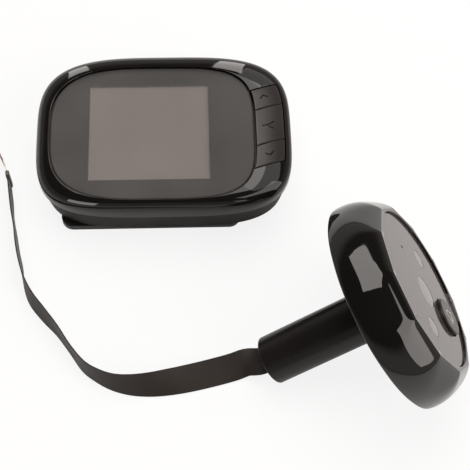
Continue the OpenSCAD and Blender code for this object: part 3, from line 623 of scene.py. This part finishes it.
def button_opening():
    """A cutter for the opening of all three buttons."""
    steps, below, above = 40, 1, 2
    starts = np.linspace(BUTTON_LINES[-1] - BUTTON_GAP, BUTTON_LINES[0] + BUTTON_GAP, steps)
    right = on_line(grow(BODY, BUTTON_GAP - BUTTON_MARGIN), starts)
    left = on_line(grow(POCKET, -BUTTON_GAP / 2), starts)
    rim = np.column_stack([right, starts + (right - BASE_X) * SLANT])
    pocket = np.column_stack([left, starts + (left - BASE_X) * SLANT])
    flat = np.vstack([rim, pocket[::-1]])
    return make_mesh("opening", *loft([level(flat, part_z - below), level(flat, rim_z + above)]))


# Monitor casings

def make_front_casing():
    edge, lip, lip_low = 0.25, 0.05, 0.12
    roll_steps, inner_steps, roll_end = 23, 6, 88
    mid = ROUND_MID * edge
    rings = [ring(grow(BODY, -edge), part_z), ring(grow(BODY, -mid), part_z + mid), ring(BODY, part_z + edge)]
    rings += rolled(POCKET, BODY, roll_z, rim_z, np.linspace(0, roll_end, roll_steps), RIM_DIP, RIM_POWER)
    rings += [ring(grow(POCKET, lip), rim_z - lip), ring(POCKET, rim_z - lip_low),
              ring(POCKET, window_z - SEAT), ring(grow(POCKET, -LEDGE_W), window_z - SEAT),
              ring(grow(POCKET, -LEDGE_W), ledge_z)]
    rings += rolled(POCKET, INSIDE, roll_z, ledge_z, np.linspace(90, 0, inner_steps))
    rings.append(ring(INSIDE, part_z))
    casing = make_mesh("front_shell", *loft(rings, closed=True), casing_black)
    boolean(casing, button_opening())
    return dress(casing, "monitor", "gloss_black", "front_casing")


front_shell = make_front_casing()


# Places at the monitor's back, from the mounts, the nodes' boxes and the part's sizes

hole_mount = mounts["bracket_barrel_hole"]
RECESS = (hole_mount["pos_m"][0] / MM, hole_mount["pos_m"][1] / MM)
RECESS_MORE = 0.7
RECESS_R = hole_mount["dims"]["r_mm"] + RECESS_MORE
RECESS_DEPTH = 8.2
RIB_T = 1.2
BACK_EDGE = 1.2
BACK_FILLET = 0.6
DOOR_GAP = 0.2
DOOR_LEDGE = 1.4
door_low, door_high = node_box("battery_door")
door_half = (door_high[0] - door_low[0]) / 2
door_top = door_high[1]
socket_low, socket_high = node_box("cable_socket")
speaker_low, speaker_high = node_box("speaker")
HOOK_DROP = 3.0
HOOK_X, HOOK_Y = 15.0, RECESS[1] + RECESS_R - HOOK_DROP
HOOK_W, HOOK_STEM_W, HOOK_H, HOOK_GAP = 6.0, 3.0, 2.0, 0.2
UNHOOK = next(j for j in frame["joints"] if j["name"] == "monitor_unhook")["range_m"][1] / MM
SCREW_X, SCREW_UP, SCREW_DOWN = 27.5, 16.3, 17.0
SCREW_R, SCREW_HEAD_R, SCREW_GAP, BOSS_R = 0.9, 1.9, 0.15, 2.2
SCREW_PLACES = [(BODY[2] + side * SCREW_X, BODY[3] + up)
                for side in (-1, 1) for up in (-SCREW_DOWN, SCREW_UP)]
CUT = 0.1


def back_rings():
    """Outer rings of the rear casing, with its back edge rounded."""
    steps, lip = 7, 0.15
    rings = []
    for a in np.radians(np.linspace(0, 90, steps)):
        inset, up = BACK_EDGE * (1 - math.sin(a)), BACK_EDGE * (1 - math.cos(a))
        rings.append(ring(grow(REAR, -inset), rear_z + up))
    rings.append(ring(grow(BODY, -PART_STEP), part_z - lip))
    rings.append(ring(grow(BODY, -PART_STEP - lip), part_z))
    return rings


def door_space(more):
    """Space of the battery door, or of its opening when it is grown by the gap."""
    low = BODY[3] - BODY[1] - CUT
    middle_z = rear_z + WALL / 2
    tall = door_top + more - low
    middle = (BODY[2], low + tall / 2)
    narrow = box(middle, (2 * (door_half - DOOR_LEDGE + more), tall, WALL + CUT - more / 2), rear_z - CUT)
    wide = box(middle, (2 * (door_half + more), tall, inner_z - middle_z + more), middle_z - more / 2)
    return [narrow, wide]


def battery_ribs():
    room = 0.3
    bay_half = door_half + RIB_T / 2
    bay_top = door_top + room
    bay_low = BODY[3] - BODY[1] + REAR_INSET + WALL + LEDGE_W
    tall = part_z - inner_z + CUT
    ribs = [box((BODY[2] + side * (bay_half + RIB_T / 2), (bay_low + bay_top) / 2),
                (RIB_T, bay_top - bay_low, tall), inner_z - CUT) for side in (-1, 1)]
    ribs.append(box((BODY[2], bay_top + RIB_T / 2), (2 * bay_half + 2 * RIB_T, RIB_T, tall), inner_z - CUT))
    return ribs


def hook_slots():
    wide, tall, deep = HOOK_W + 2 * HOOK_GAP, HOOK_H + 2 * HOOK_GAP, WALL + 2 * CUT
    stem = HOOK_STEM_W + 2 * HOOK_GAP
    slots = []
    for x in (-HOOK_X, HOOK_X):
        slots.append(box((x, HOOK_Y - UNHOOK / 2), (stem, UNHOOK + tall, deep), rear_z - CUT))
        slots.append(box((x, HOOK_Y - UNHOOK), (wide, tall, deep), rear_z - CUT))
    return slots


def speaker_grille():
    count, circle_r, hole_r = 6, 3, 0.5
    places = ((speaker_low + speaker_high) / 2)[:2] + circle_r * circle(count)
    return [post(p, hole_r, rear_z - CUT, inner_z + CUT, sides=24) for p in places]


def make_rear_casing():
    socket_room = 0.4
    mid = ROUND_MID * BACK_FILLET
    rings = back_rings()
    rings += [ring(grow(INSIDE, -PART_STEP), part_z), ring(grow(REAR, -WALL), inner_z + BACK_FILLET),
              ring(grow(REAR, -WALL - mid), inner_z + mid), ring(grow(REAR, -WALL - BACK_FILLET), inner_z)]
    casing = make_mesh("rear_shell", *loft(rings), rear_brown)
    added = battery_ribs()
    added.append(post(RECESS, RECESS_R + RIB_T, inner_z - CUT, rear_z + RECESS_DEPTH + RIB_T, sides=96))
    added += [post(p, BOSS_R, inner_z - CUT, part_z) for p in SCREW_PLACES]
    boolean(casing, joined("ribs", added), "UNION", overlapping=True)
    cuts = door_space(DOOR_GAP)
    cuts.append(post(RECESS, RECESS_R, rear_z - CUT, rear_z + RECESS_DEPTH, sides=96))
    socket_size = (socket_high - socket_low)[:2] + socket_room
    cuts.append(box(RECESS, (*socket_size, RIB_T + 2 * CUT), rear_z + RECESS_DEPTH - CUT))
    cuts += hook_slots() + speaker_grille()
    for p in SCREW_PLACES:
        cuts.append(post(p, SCREW_R + SCREW_GAP, rear_z - CUT, part_z + CUT, sides=32))
        cuts.append(post(p, SCREW_HEAD_R + SCREW_GAP, rear_z - CUT, inner_z + SCREW_GAP, sides=48))
    boolean(casing, joined("cuts", cuts), overlapping=True)
    dress(casing, "monitor", "rear_brown", "rear_casing")


make_rear_casing()


def make_battery_door():
    grooves, groove_w, groove_len, groove_depth, first_up = 4, 0.8, 14.0, 0.4, 5.0
    first_y = BODY[3] - BODY[1] + REAR_INSET + first_up
    door = joined("battery_lid", door_space(0), rear_brown)
    boolean(door, make_mesh("back", *loft(back_rings())), "INTERSECT", overlapping=True)
    groove = (groove_len, groove_w, groove_depth + CUT)
    cuts = [box((BODY[2], first_y + 2 * k * groove_w), groove, rear_z - CUT) for k in range(grooves)]
    boolean(door, joined("grooves", cuts))
    dress(door, "battery_door", "rear_brown", "battery_door")


make_battery_door()


# Window with its printed mask

def make_window():
    edge, inset = 0.09, 0.25
    mid = ROUND_MID * edge
    pane = grow(WINDOW, -inset)
    rings = [ring(grow(pane, -edge), window_z), ring(pane, window_z + edge), ring(pane, face_z - edge),
             ring(grow(pane, -mid), face_z - mid), ring(grow(pane, -edge), face_z)]
    window = make_mesh("window_pane", *loft(rings), window_smoke)
    dress(window, "monitor", "smoked_window", "screen_window")


def make_mask():
    """Dark print under the window and the gap round it, open over the lit screen."""
    below, thick, more, border, cut_tall = 0.06, 0.04, 0.2, 2.2, 1
    low = window_z - below
    outer = grow(WINDOW, more)
    mask = make_mesh("window_print", *loft([ring(outer, low), ring(outer, low + thick)]), screen_mask)
    frame_low, frame_high = node_box("display_frame")
    size = (frame_high - frame_low)[:2] - 2 * border
    middle = ((frame_high + frame_low) / 2)[:2]
    boolean(mask, joined("opening", [box(middle, (*size, cut_tall), low - cut_tall / 2)]))
    dress(mask, "monitor", "smoked_window")


make_window()
make_mask()


# Buttons with engraved signs

CAP_LOW = node_box("button_view")[0][2]
EDGE_R = 0.12
GLYPH_DEPTH = 0.18


def stroke(points, width):
    """Outline of a bent line of a given width, with mitred bends."""
    points = np.asarray(points, float)
    runs = np.diff(points, axis=0)
    runs /= np.linalg.norm(runs, axis=1)[:, None]
    sides = np.column_stack([-runs[:, 1], runs[:, 0]])
    offsets = [sides[0]]
    for a, b in zip(sides[:-1], sides[1:]):
        offsets.append((a + b) / (1 + a @ b))
    offsets.append(sides[-1])
    offsets = np.array(offsets) * width / 2
    return np.vstack([points + offsets, (points - offsets)[::-1]])


def engrave(obj, flat, floor, top, material):
    """Cuts a shape into a piece, down to a height or to one per point, and colours the cut."""
    cutter = make_mesh("cutter", *loft([level(flat, floor), level(flat, top)]), material)
    work = bmesh.new()
    work.from_mesh(cutter.data)
    bmesh.ops.triangulate(work, faces=[f for f in work.faces if len(f.verts) > 4])
    bmesh.ops.recalc_face_normals(work, faces=work.faces)
    work.to_mesh(cutter.data)
    work.free()
    boolean(obj, cutter)


def turned(points, degrees, middle):
    """Plane points turned and set on a middle."""
    a = math.radians(degrees)
    turn = np.array([[math.cos(a), -math.sin(a)], [math.sin(a), math.cos(a)]])
    return np.asarray(points, float) @ turn.T + np.asarray(middle, float)


def inset_steps(length, count):
    """Places along a length, close together where the edge is rounded."""
    edge = [0, ROUND_MID * EDGE_R, EDGE_R]
    inner = np.linspace(EDGE_R, length - EDGE_R, count + 1)[1:-1]
    return np.concatenate([edge, inner, length - np.array(edge[::-1])])


def make_button(name, high, low):
    """A cap whose top is a piece of the rolled rim, with rounded edges."""
    up_steps, across_steps = 24, 20
    tall = high - low - BUTTON_GAP
    rise = inset_steps(tall, up_steps)
    starts = low + BUTTON_GAP / 2 + rise
    left = on_line(grow(POCKET, BUTTON_GAP), starts)
    right = on_line(grow(BODY, -BUTTON_MARGIN - BUTTON_GAP / 2), starts)
    columns = inset_steps(float((right - left).mean()), across_steps)
    share = columns / columns[-1]
    x = left[:, None] + (right - left)[:, None] * share[None, :]
    y = starts[:, None] + (x - BASE_X) * SLANT
    up_edge, side_edge = np.minimum(rise, tall - rise), np.minimum(columns, columns[-1] - columns)
    from_edge = np.minimum(up_edge[:, None], side_edge[None, :])
    short = np.clip(EDGE_R - from_edge, 0, EDGE_R)
    drop = EDGE_R - np.sqrt(np.clip(EDGE_R ** 2 - short ** 2, 0, None))
    z = rim_height(x.ravel(), y.ravel()).reshape(x.shape) - drop
    top = np.column_stack([x.ravel(), y.ravel(), z.ravel()])
    index = np.arange(x.size).reshape(x.shape)
    quads = np.stack([index[:-1, :-1], index[:-1, 1:], index[1:, 1:], index[1:, :-1]], axis=-1)
    faces = quads.reshape(-1, 4).tolist()
    border = np.concatenate([index[0], index[1:, -1], index[-1, -2::-1], index[-2:0:-1, 0]]).tolist()
    base = level(top[border, :2], CAP_LOW)
    start, count = len(top), len(border)
    for k in range(count):
        after = (k + 1) % count
        faces.append((border[k], border[after], start + after, start + k))
    faces.append(tuple(range(start, start + count)))
    return make_mesh(name, np.vstack([top, base]), faces, button_grey)


def engrave_on_rim(cap, shapes, middle):
    above = 1
    for shape in shapes:
        flat = turned(shape, SLANT_DEGREES, middle)
        height = rim_height(flat[:, 0], flat[:, 1])
        # The grooves are coloured with painted shade
        engrave(cap, flat, height - GLYPH_DEPTH, height + above, painted_groove_shade)


def make_buttons():
    wide, thin = 0.36, 0.32
    chevron_up = [stroke([(-1.35, -0.75), (0, 0.15), (1.35, -0.75)], wide)]
    chevron_down = [stroke([(-1.35, 0.75), (0, -0.15), (1.35, 0.75)], wide)]
    fork = [stroke([(-2.0, 0.05), (-0.1, -0.05), (2.1, 0.4)], wide),
            stroke([(-0.3, -0.4), (0.15, -1.1), (1.05, -1.7)], thin)]
    lines = BUTTON_LINES
    caps = (("up_cap", "button_up", lines[0], lines[1], chevron_up, (34.3, 12.3)),
            ("view_cap", "button_view", lines[1], lines[2], fork, (35.5, 2.4)),
            ("down_cap", "button_down", lines[2], lines[3], chevron_down, (35.6, -7.8)))
    for name, node, high, low, shapes, middle in caps:
        cap = make_button(name, high, low)
        engrave_on_rim(cap, shapes, middle)
        dress(cap, node, "button_grey", node)


make_buttons()


# Outdoor unit: local X and Y across the face, with +Y up in a door, and Z along the barrel

FACE_ROLL = math.radians(62)
FACE_X = UNIT_DOWN * math.cos(FACE_ROLL) + UNIT_SIDE * math.sin(FACE_ROLL)
FACE_Y = UNIT_SIDE * math.cos(FACE_ROLL) - UNIT_DOWN * math.sin(FACE_ROLL)
BARREL_LEN = 36.5
BACK_T = 2.0
COLLAR_R = 7.9
RIM_R, SKIRT_WALL, REAR_STEP = 29.8, 1.2, 0.2
SKIRT_R = RIM_R - SKIRT_WALL
# Radius of the dome's corners at the front, and how slowly they round towards the rear rim
CORNER_R, CORNER_POWER = 0.6, 1.6
FRONT_Z = 49.2
DOME_Z = BARREL_LEN + BACK_T
FACETS = 12
FRONT_ACROSS = 48.9
FRONT_MIDDLE = FRONT_ACROSS / 2 * math.cos(math.pi / FACETS)
REAR_MIDDLE = RIM_R - REAR_STEP
ARC_UP = 1.5
ARC_Z = BARREL_LEN + ARC_UP
HOLLOW_R, HOLLOW_H = 25.5, 4.6
FACE_WINDOW_R, FACE_BORE_R, FACE_T = 22.6, 20.4, 1.0
FACE_RECESS = 0.7
FACE_Z = FRONT_Z - FACE_RECESS
WINDOW_BACK = FACE_Z - FACE_T
FACE_GAP = 0.15
LENS_Y = -1.4
LENS_R, LED_R, LED_X = 4.5, 2.7, 12.9
# How much of the gap round them the flush covers fill
COVER_MORE = 0.11
BELL_R, BELL_DOWN, BELL_PROUD = 5.4, 12.3, 0.4
BELL_Y, BELL_TOP = LENS_Y - BELL_DOWN, FRONT_Z + BELL_PROUD
MIC_X, MIC_UP, MIC_R = 8.0, 11.0, 0.5
HOUSING_SCREW_OUT, HOUSING_SCREW_TURNS = 23.5, (30, 150, 270)


def on_face(points):
    """Local points of the outdoor unit in the frame."""
    points = np.asarray(points, float)
    return BARREL_END + points[:, :1] * FACE_X + points[:, 1:2] * FACE_Y + points[:, 2:] * BARREL_AXIS


def unit_mesh(name, points, faces, *materials):
    return make_mesh(name, on_face(points), faces, *materials)


def unit_joined(name, parts, *materials):
    return joined(name, [(on_face(points), faces) for points, faces in parts], *materials)


# Angles from a corner of the dome to the middle of its facet, close together at the corner
CORNER_ANGLES = np.radians((0, 0.12, 0.25, 0.4, 0.7, 1.2, 2.2, 4, 6.5, 9.5, 12.5, 15))
DOME_ANGLES = np.concatenate([-CORNER_ANGLES[-2:0:-1], CORNER_ANGLES])


def dome_ring(middle, z):
    """Twelve flat facets with rounded corners that stay inside the round rear rim."""
    half = math.pi / FACETS
    reach = 1 / math.cos(half)
    towards_rim = (middle - FRONT_MIDDLE) / (REAR_MIDDLE - FRONT_MIDDLE)
    radius = min(middle, CORNER_R + (REAR_MIDDLE - CORNER_R) * max(0.0, towards_rim) ** CORNER_POWER)
    radius = max(radius, (middle * reach - RIM_R) / (reach - 1))
    centre = (middle - radius) * reach
    arc_end = math.atan2(radius * math.sin(half), centre + radius * math.cos(half))
    off = np.abs(DOME_ANGLES)
    on_arc = centre * np.cos(off) + np.sqrt(np.clip(radius ** 2 - (centre * np.sin(off)) ** 2, 0, None))
    out = np.where(off <= arc_end, on_arc, middle / np.cos(half - off))
    around = (2 * half * np.arange(FACETS)[:, None] + DOME_ANGLES[None, :]).ravel()
    out = np.tile(out, FACETS)
    return level(polar(out, around), z)


def circle_like(flat_ring, radius, z):
    """A round ring at the same angles as another ring."""
    return level(polar(radius, np.arctan2(flat_ring[:, 1], flat_ring[:, 0])), z)


def make_dome():
    rise, fall = FRONT_Z - ARC_Z, REAR_MIDDLE - FRONT_MIDDLE
    arc_r = (rise ** 2 + fall ** 2) / (2 * fall)
    first = math.asin((BARREL_LEN - ARC_Z) / arc_r)
    last = math.asin((FRONT_Z - ARC_Z) / arc_r)
    rear_edge, rear_steps, steps = 0.5, 6, 30
    edge_down, edge_in, lip = 0.0875, 0.1, 0.2
    rear = REAR_MIDDLE - arc_r + arc_r * math.cos(first)
    rings = [dome_ring(rear - rear_edge * (1 - math.sin(a)), BARREL_LEN + rear_edge * (1 - math.cos(a)))
             for a in np.radians(np.linspace(0, 80, rear_steps))]
    for turn in np.linspace(first, last, steps)[2:-1]:
        rings.append(dome_ring(REAR_MIDDLE - arc_r + arc_r * math.cos(turn), ARC_Z + arc_r * math.sin(turn)))
    rings.append(dome_ring(FRONT_MIDDLE, FRONT_Z - edge_down))
    rings.append(dome_ring(FRONT_MIDDLE - edge_in, FRONT_Z))
    front = rings[-1]
    recess_r, mid = FACE_WINDOW_R + FACE_GAP, ROUND_MID * lip
    hollow_z = DOME_Z + HOLLOW_H
    for radius, z in ((recess_r + lip, FRONT_Z), (recess_r + mid, FRONT_Z - mid), (recess_r, FRONT_Z - lip),
                      (recess_r, WINDOW_BACK), (FACE_BORE_R, WINDOW_BACK), (FACE_BORE_R, hollow_z),
                      (HOLLOW_R, hollow_z), (HOLLOW_R, DOME_Z), (SKIRT_R, DOME_Z), (SKIRT_R, BARREL_LEN)):
        rings.append(circle_like(front, radius, z))
    dome = unit_mesh("dome_shell", *loft(rings, closed=True), gloss_black)
    dress(dome, "outdoor_unit", "gloss_black", "camera_housing")


def make_rear_cover():
    edge, head_depth = 0.2, 1.2
    cover_r = SKIRT_R - FACE_GAP
    profile = fillet((cover_r, BARREL_LEN), (cover_r - edge, BARREL_LEN), (cover_r, BARREL_LEN + edge))
    profile.append((cover_r, DOME_Z))
    cover = unit_mesh("rear_cover", *spun(profile, sides=144), satin_black)
    low, head_r = BARREL_LEN - CUT, SCREW_HEAD_R + SCREW_GAP
    places = polar(HOUSING_SCREW_OUT, np.radians(HOUSING_SCREW_TURNS))
    cuts = [post(p, head_r, low, BARREL_LEN + head_depth, sides=48) for p in places]
    cuts.append(post((0, 0), COLLAR_R + FACE_GAP, low, DOME_Z + CUT, sides=96))
    boolean(cover, unit_joined("cuts", cuts))
    dress(cover, "outdoor_unit", "satin_black", "camera_back")


def make_barrel():
    bore, lip, edge, flange, flange_t = 5.4, 0.25, 0.4, 10.5, 1.5
    outer = mounts["barrel"]["dims"]["r_mm"]
    profile = fillet((bore, 0), (bore, lip), (bore + lip, 0), 2)
    profile += fillet((outer, 0), (outer - edge, 0), (outer, edge))
    profile += [(outer, BARREL_LEN), (COLLAR_R, BARREL_LEN), (COLLAR_R, DOME_Z), (flange, DOME_Z),
                (flange, DOME_Z + flange_t), (bore, DOME_Z + flange_t)]
    barrel = unit_mesh("barrel_sleeve", *spun(profile, sides=128, closed=True), barrel_black)
    dress(barrel, "outdoor_unit", "satin_black", "barrel_tube")


def disc(middle, radius, crown, edge=0.12, sides=72, steps=8):
    """A round cover in the face with a rounded front edge and a slight crown."""
    flat = circle(sides)
    place = np.asarray(middle, float)
    mid = ROUND_MID * edge
    rings = [level(flat * radius + place, WINDOW_BACK)]
    for out, down in ((0, edge), (mid, mid), (edge, 0)):
        rings.append(level(flat * (radius - out) + place, FACE_Z - down))
    for u in np.linspace(0, 1, steps + 1)[1:-1]:
        rings.append(level(flat * (radius - edge) * (1 - u) + place, FACE_Z + crown * (1 - (1 - u) ** 2)))
    return loft(rings)


def make_face():
    edge = 0.12
    mid = ROUND_MID * edge
    profile = [(FACE_WINDOW_R, WINDOW_BACK), (FACE_WINDOW_R, FACE_Z - edge),
               (FACE_WINDOW_R - mid, FACE_Z - mid), (FACE_WINDOW_R - edge, FACE_Z)]
    face = unit_mesh("face_pane", *spun(profile, sides=192), face_smoke)
    low, high = WINDOW_BACK - CUT, FACE_Z + CUT
    lamp_places = [(side * LED_X, LENS_Y) for side in (-1, 1)]
    cuts = [post((0, LENS_Y), LENS_R + FACE_GAP, low, high),
            post((0, BELL_Y), BELL_R + 2 * FACE_GAP, low, high),
            post((MIC_X, LENS_Y + MIC_UP), MIC_R, low, high, sides=24)]
    cuts += [post(p, LED_R + FACE_GAP, low, high) for p in lamp_places]
    boolean(face, unit_joined("cuts", cuts))
    dress(face, "outdoor_unit", "smoked_window", "camera_window")
    lens = unit_mesh("lens_pane", *disc((0, LENS_Y), LENS_R + COVER_MORE, crown=0.05), lens_cover)
    dress(lens, "outdoor_unit", "lens_clear", "lens_glass")
    panes = [disc(p, LED_R + COVER_MORE, crown=0.04) for p in lamp_places]
    lamps = unit_joined("lamp_panes", panes, lens_cover)
    dress(lamps, "outdoor_unit", "lens_clear", "led_covers")


def bell_shapes():
    """A plain bell sign: a rounded bell outline, its rim and its clapper."""
    wide, thin = 0.38, 0.34
    top = polar(1.35, np.radians(np.linspace(180, 0, 17))) + (0, 0.35)
    body = [(-2.0, -1.25), (-1.5, -0.7), *top, (1.5, -0.7), (2.0, -1.25)]
    clapper = polar(1, np.radians(np.linspace(180, 360, 9))) * (0.55, 0.4) + (0, -1.75)
    return [stroke(body, wide), stroke([(-2.15, -1.45), (2.15, -1.45)], wide), stroke(clapper, thin)]


def make_bell_button():
    edge, flange, flange_down, flange_gap = 0.5, 0.7, 0.9, 0.1
    sign_up, sign_depth, above = 0.3, 0.12, 0.5
    flange_low, flange_high = WINDOW_BACK - flange_down, WINDOW_BACK - flange_gap
    profile = [(BELL_R + flange, flange_low), (BELL_R + flange, flange_high), (BELL_R, flange_high)]
    profile += fillet((BELL_R, BELL_TOP), (BELL_R, BELL_TOP - edge), (BELL_R - edge, BELL_TOP), 6)
    points, faces = spun(profile)
    cap = make_mesh("bell_cap", points + np.array([0, BELL_Y, 0]), faces, bell_black)
    for shape in bell_shapes():
        flat = shape + (0, BELL_Y + sign_up)
        engrave(cap, flat, BELL_TOP - sign_depth, BELL_TOP + above, icon_pale)
    local = np.array([v.co[:] for v in cap.data.vertices]) / MM
    for vertex, place in zip(cap.data.vertices, on_face(local) * MM):
        vertex.co = place
    dress(cap, "bell_button", "button_grey", "bell_button")


make_dome()
make_rear_cover()
make_barrel()
make_face()
make_bell_button()


# Nodes that keep their CAD shape, with their materials and some softened edges

NODE_LOOKS = (
    (satin_black, "wall_bracket", "speaker", "lens_holder", "bell_switch"),
    (steel, "display_frame", "tact_switches", "battery_contacts", "casing_screws", "microphone",
     "housing_screws"),
    (board_green, "main_board", "camera_board"),
    (socket_cream, "cable_socket", "board_connector"),
    (lamp_resin, "image_sensor", "ir_leds"),
    (display_painted_lit_grey, "display_glass"),
    (cell_wrap, "battery_cells"),
    (rubber, "housing_seal"),
    (film_brown, "ribbon_inner"))
SOFT_EDGES = {"wall_bracket": 0.25, "casing_screws": 0.08, "housing_screws": 0.08, "cable_socket": 0.1,
              "display_frame": 0.08, "battery_contacts": 0.06}


def dress_node(name, material):
    node = frame["nodes"][name]
    node.data.materials.clear()
    node.data.materials.append(material)
    if name in SOFT_EDGES:
        weld = node.modifiers.new("weld", "WELD")
        weld.merge_threshold = 0.002 * MM
        bevel = node.modifiers.new("edges", "BEVEL")
        bevel.width = SOFT_EDGES[name] * MM
        bevel.segments = 3
        bevel.limit_method = "ANGLE"
        bevel.angle_limit = math.radians(40)
        bevel.harden_normals = True


for node_material, *node_names in NODE_LOOKS:
    for node_name in node_names:
        dress_node(node_name, node_material)


# Floor, lights and world, in metres and degrees

FLOOR_HALF = 40.0
FLOOR_COLOUR = (0.9, 0.9, 0.9, 1)
# How much of the floor's look is plain white, as the camera sees it and in reflections
SEEN_WHITE, REFLECTED_WHITE = 0.85, 0.15
LIGHT_COLOUR = (1.0, 0.955, 0.92)
LIGHT_DISTANCE = 1.2
TARGET = Vector((0.02, -0.02, 0.02))
ROOM_COLOUR = (1.0, 0.93, 0.88, 1)
# Elevations between which the band along the horizon fades into the dim room, and the strength of each
BAND_TOP, ROOM_LOW = 16, 33
BAND_STRENGTH, ROOM_STRENGTH = 0.45, 0.06


def reckon(tree, operation, *values):
    """Result of one step of arithmetic on sockets and plain numbers."""
    node = tree.nodes.new("ShaderNodeMath")
    node.operation = operation
    for socket, value in zip(node.inputs, values):
        if isinstance(value, float):
            socket.default_value = value
        else:
            tree.links.new(value, socket)
    return node.outputs[0]


def mix(tree, share, first, second, output):
    """Gives an output a mix of two shaders, by the share of the second."""
    node = tree.nodes.new("ShaderNodeMixShader")
    for socket, value in zip(node.inputs, (share, first.outputs[0], second.outputs[0])):
        tree.links.new(value, socket)
    tree.links.new(node.outputs[0], output.inputs["Surface"])


def make_floor():
    material, tree, shader = new_material("floor")
    tree.nodes.remove(shader)
    path = tree.nodes.new("ShaderNodeLightPath").outputs
    paper = tree.nodes.new("ShaderNodeBsdfDiffuse")
    paper.inputs["Color"].default_value = FLOOR_COLOUR
    white = tree.nodes.new("ShaderNodeEmission")
    direct = reckon(tree, "MAXIMUM", path["Is Camera Ray"], path["Is Transmission Ray"])
    seen = reckon(tree, "MULTIPLY", direct, SEEN_WHITE)
    share = reckon(tree, "MULTIPLY_ADD", path["Is Glossy Ray"], REFLECTED_WHITE, seen)
    mix(tree, share, paper, white, tree.nodes["Material Output"])
    floor = make_mesh("floor", level(SQUARE * FLOOR_HALF / MM, 0), [(0, 1, 2, 3)], material)


def softbox(name, azimuth, elevation, width, height, radiance, only=None):
    """A soft light seen from the object at an azimuth from +Y towards +X and an elevation, in degrees.
    only is the collection that it lights, where it is a small light for the casing's rim."""
    a, e = math.radians(azimuth), math.radians(elevation)
    way = Vector((math.sin(a) * math.cos(e), math.cos(a) * math.cos(e), math.sin(e)))
    data = bpy.data.lights.new(name, "AREA")
    data.shape = "RECTANGLE"
    data.size = width
    data.size_y = height
    data.energy = radiance * math.pi * width * height
    data.color = LIGHT_COLOUR
    light = bpy.data.objects.new(name, data)
    light.location = TARGET + way * LIGHT_DISTANCE
    light.rotation_mode = "QUATERNION"
    light.rotation_quaternion = (-way).to_track_quat("-Z", "Y")
    light.visible_camera = False
    light.light_linking.receiver_collection = only
    scene.collection.objects.link(light)


def make_world():
    """A dim room with a paler band along the horizon, which the camera itself sees as white."""
    world = bpy.data.worlds.new("studio")
    world.use_nodes = True
    tree = world.node_tree
    place = tree.nodes.new("ShaderNodeTexCoord")
    split = tree.nodes.new("ShaderNodeSeparateXYZ")
    band = tree.nodes.new("ShaderNodeMapRange")
    band.interpolation_type = "SMOOTHSTEP"
    set_inputs(band, {"From Min": math.sin(math.radians(BAND_TOP)), "To Min": BAND_STRENGTH,
                      "From Max": math.sin(math.radians(ROOM_LOW)), "To Max": ROOM_STRENGTH})
    back = tree.nodes["Background"]
    back.inputs["Color"].default_value = ROOM_COLOUR
    tree.links.new(place.outputs["Generated"], split.inputs[0])
    tree.links.new(split.outputs["Z"], band.inputs["Value"])
    tree.links.new(band.outputs["Result"], back.inputs["Strength"])
    white = tree.nodes.new("ShaderNodeBackground")
    white.inputs["Color"].default_value = (1, 1, 1, 1)
    path = tree.nodes.new("ShaderNodeLightPath").outputs
    mix(tree, path["Is Camera Ray"], back, white, tree.nodes["World Output"])
    scene.world = world


make_floor()
softbox("above", -5, 70, 1.1, 1.05, 3.9)
softbox("right", 117, 34, 1.05, 0.9, 3.2)
rim_only = bpy.data.collections.new("rim_only")
rim_only.objects.link(front_shell)
softbox("front_left", -150, 6, 0.5, 0.55, 6.0, rim_only)
softbox("front_right", 142, 20, 0.78, 0.15, 3.0, rim_only)
softbox("corner", 26, 33, 0.45, 0.5, 1.5, rim_only)
softbox("side", 58, 55, 1.0, 0.7, 1.8, rim_only)
softbox("back_right", 9, 22, 0.17, 0.75, 6.2, rim_only)
softbox("back_left", -18, 15, 0.17, 0.6, 5.6, rim_only)
make_world()
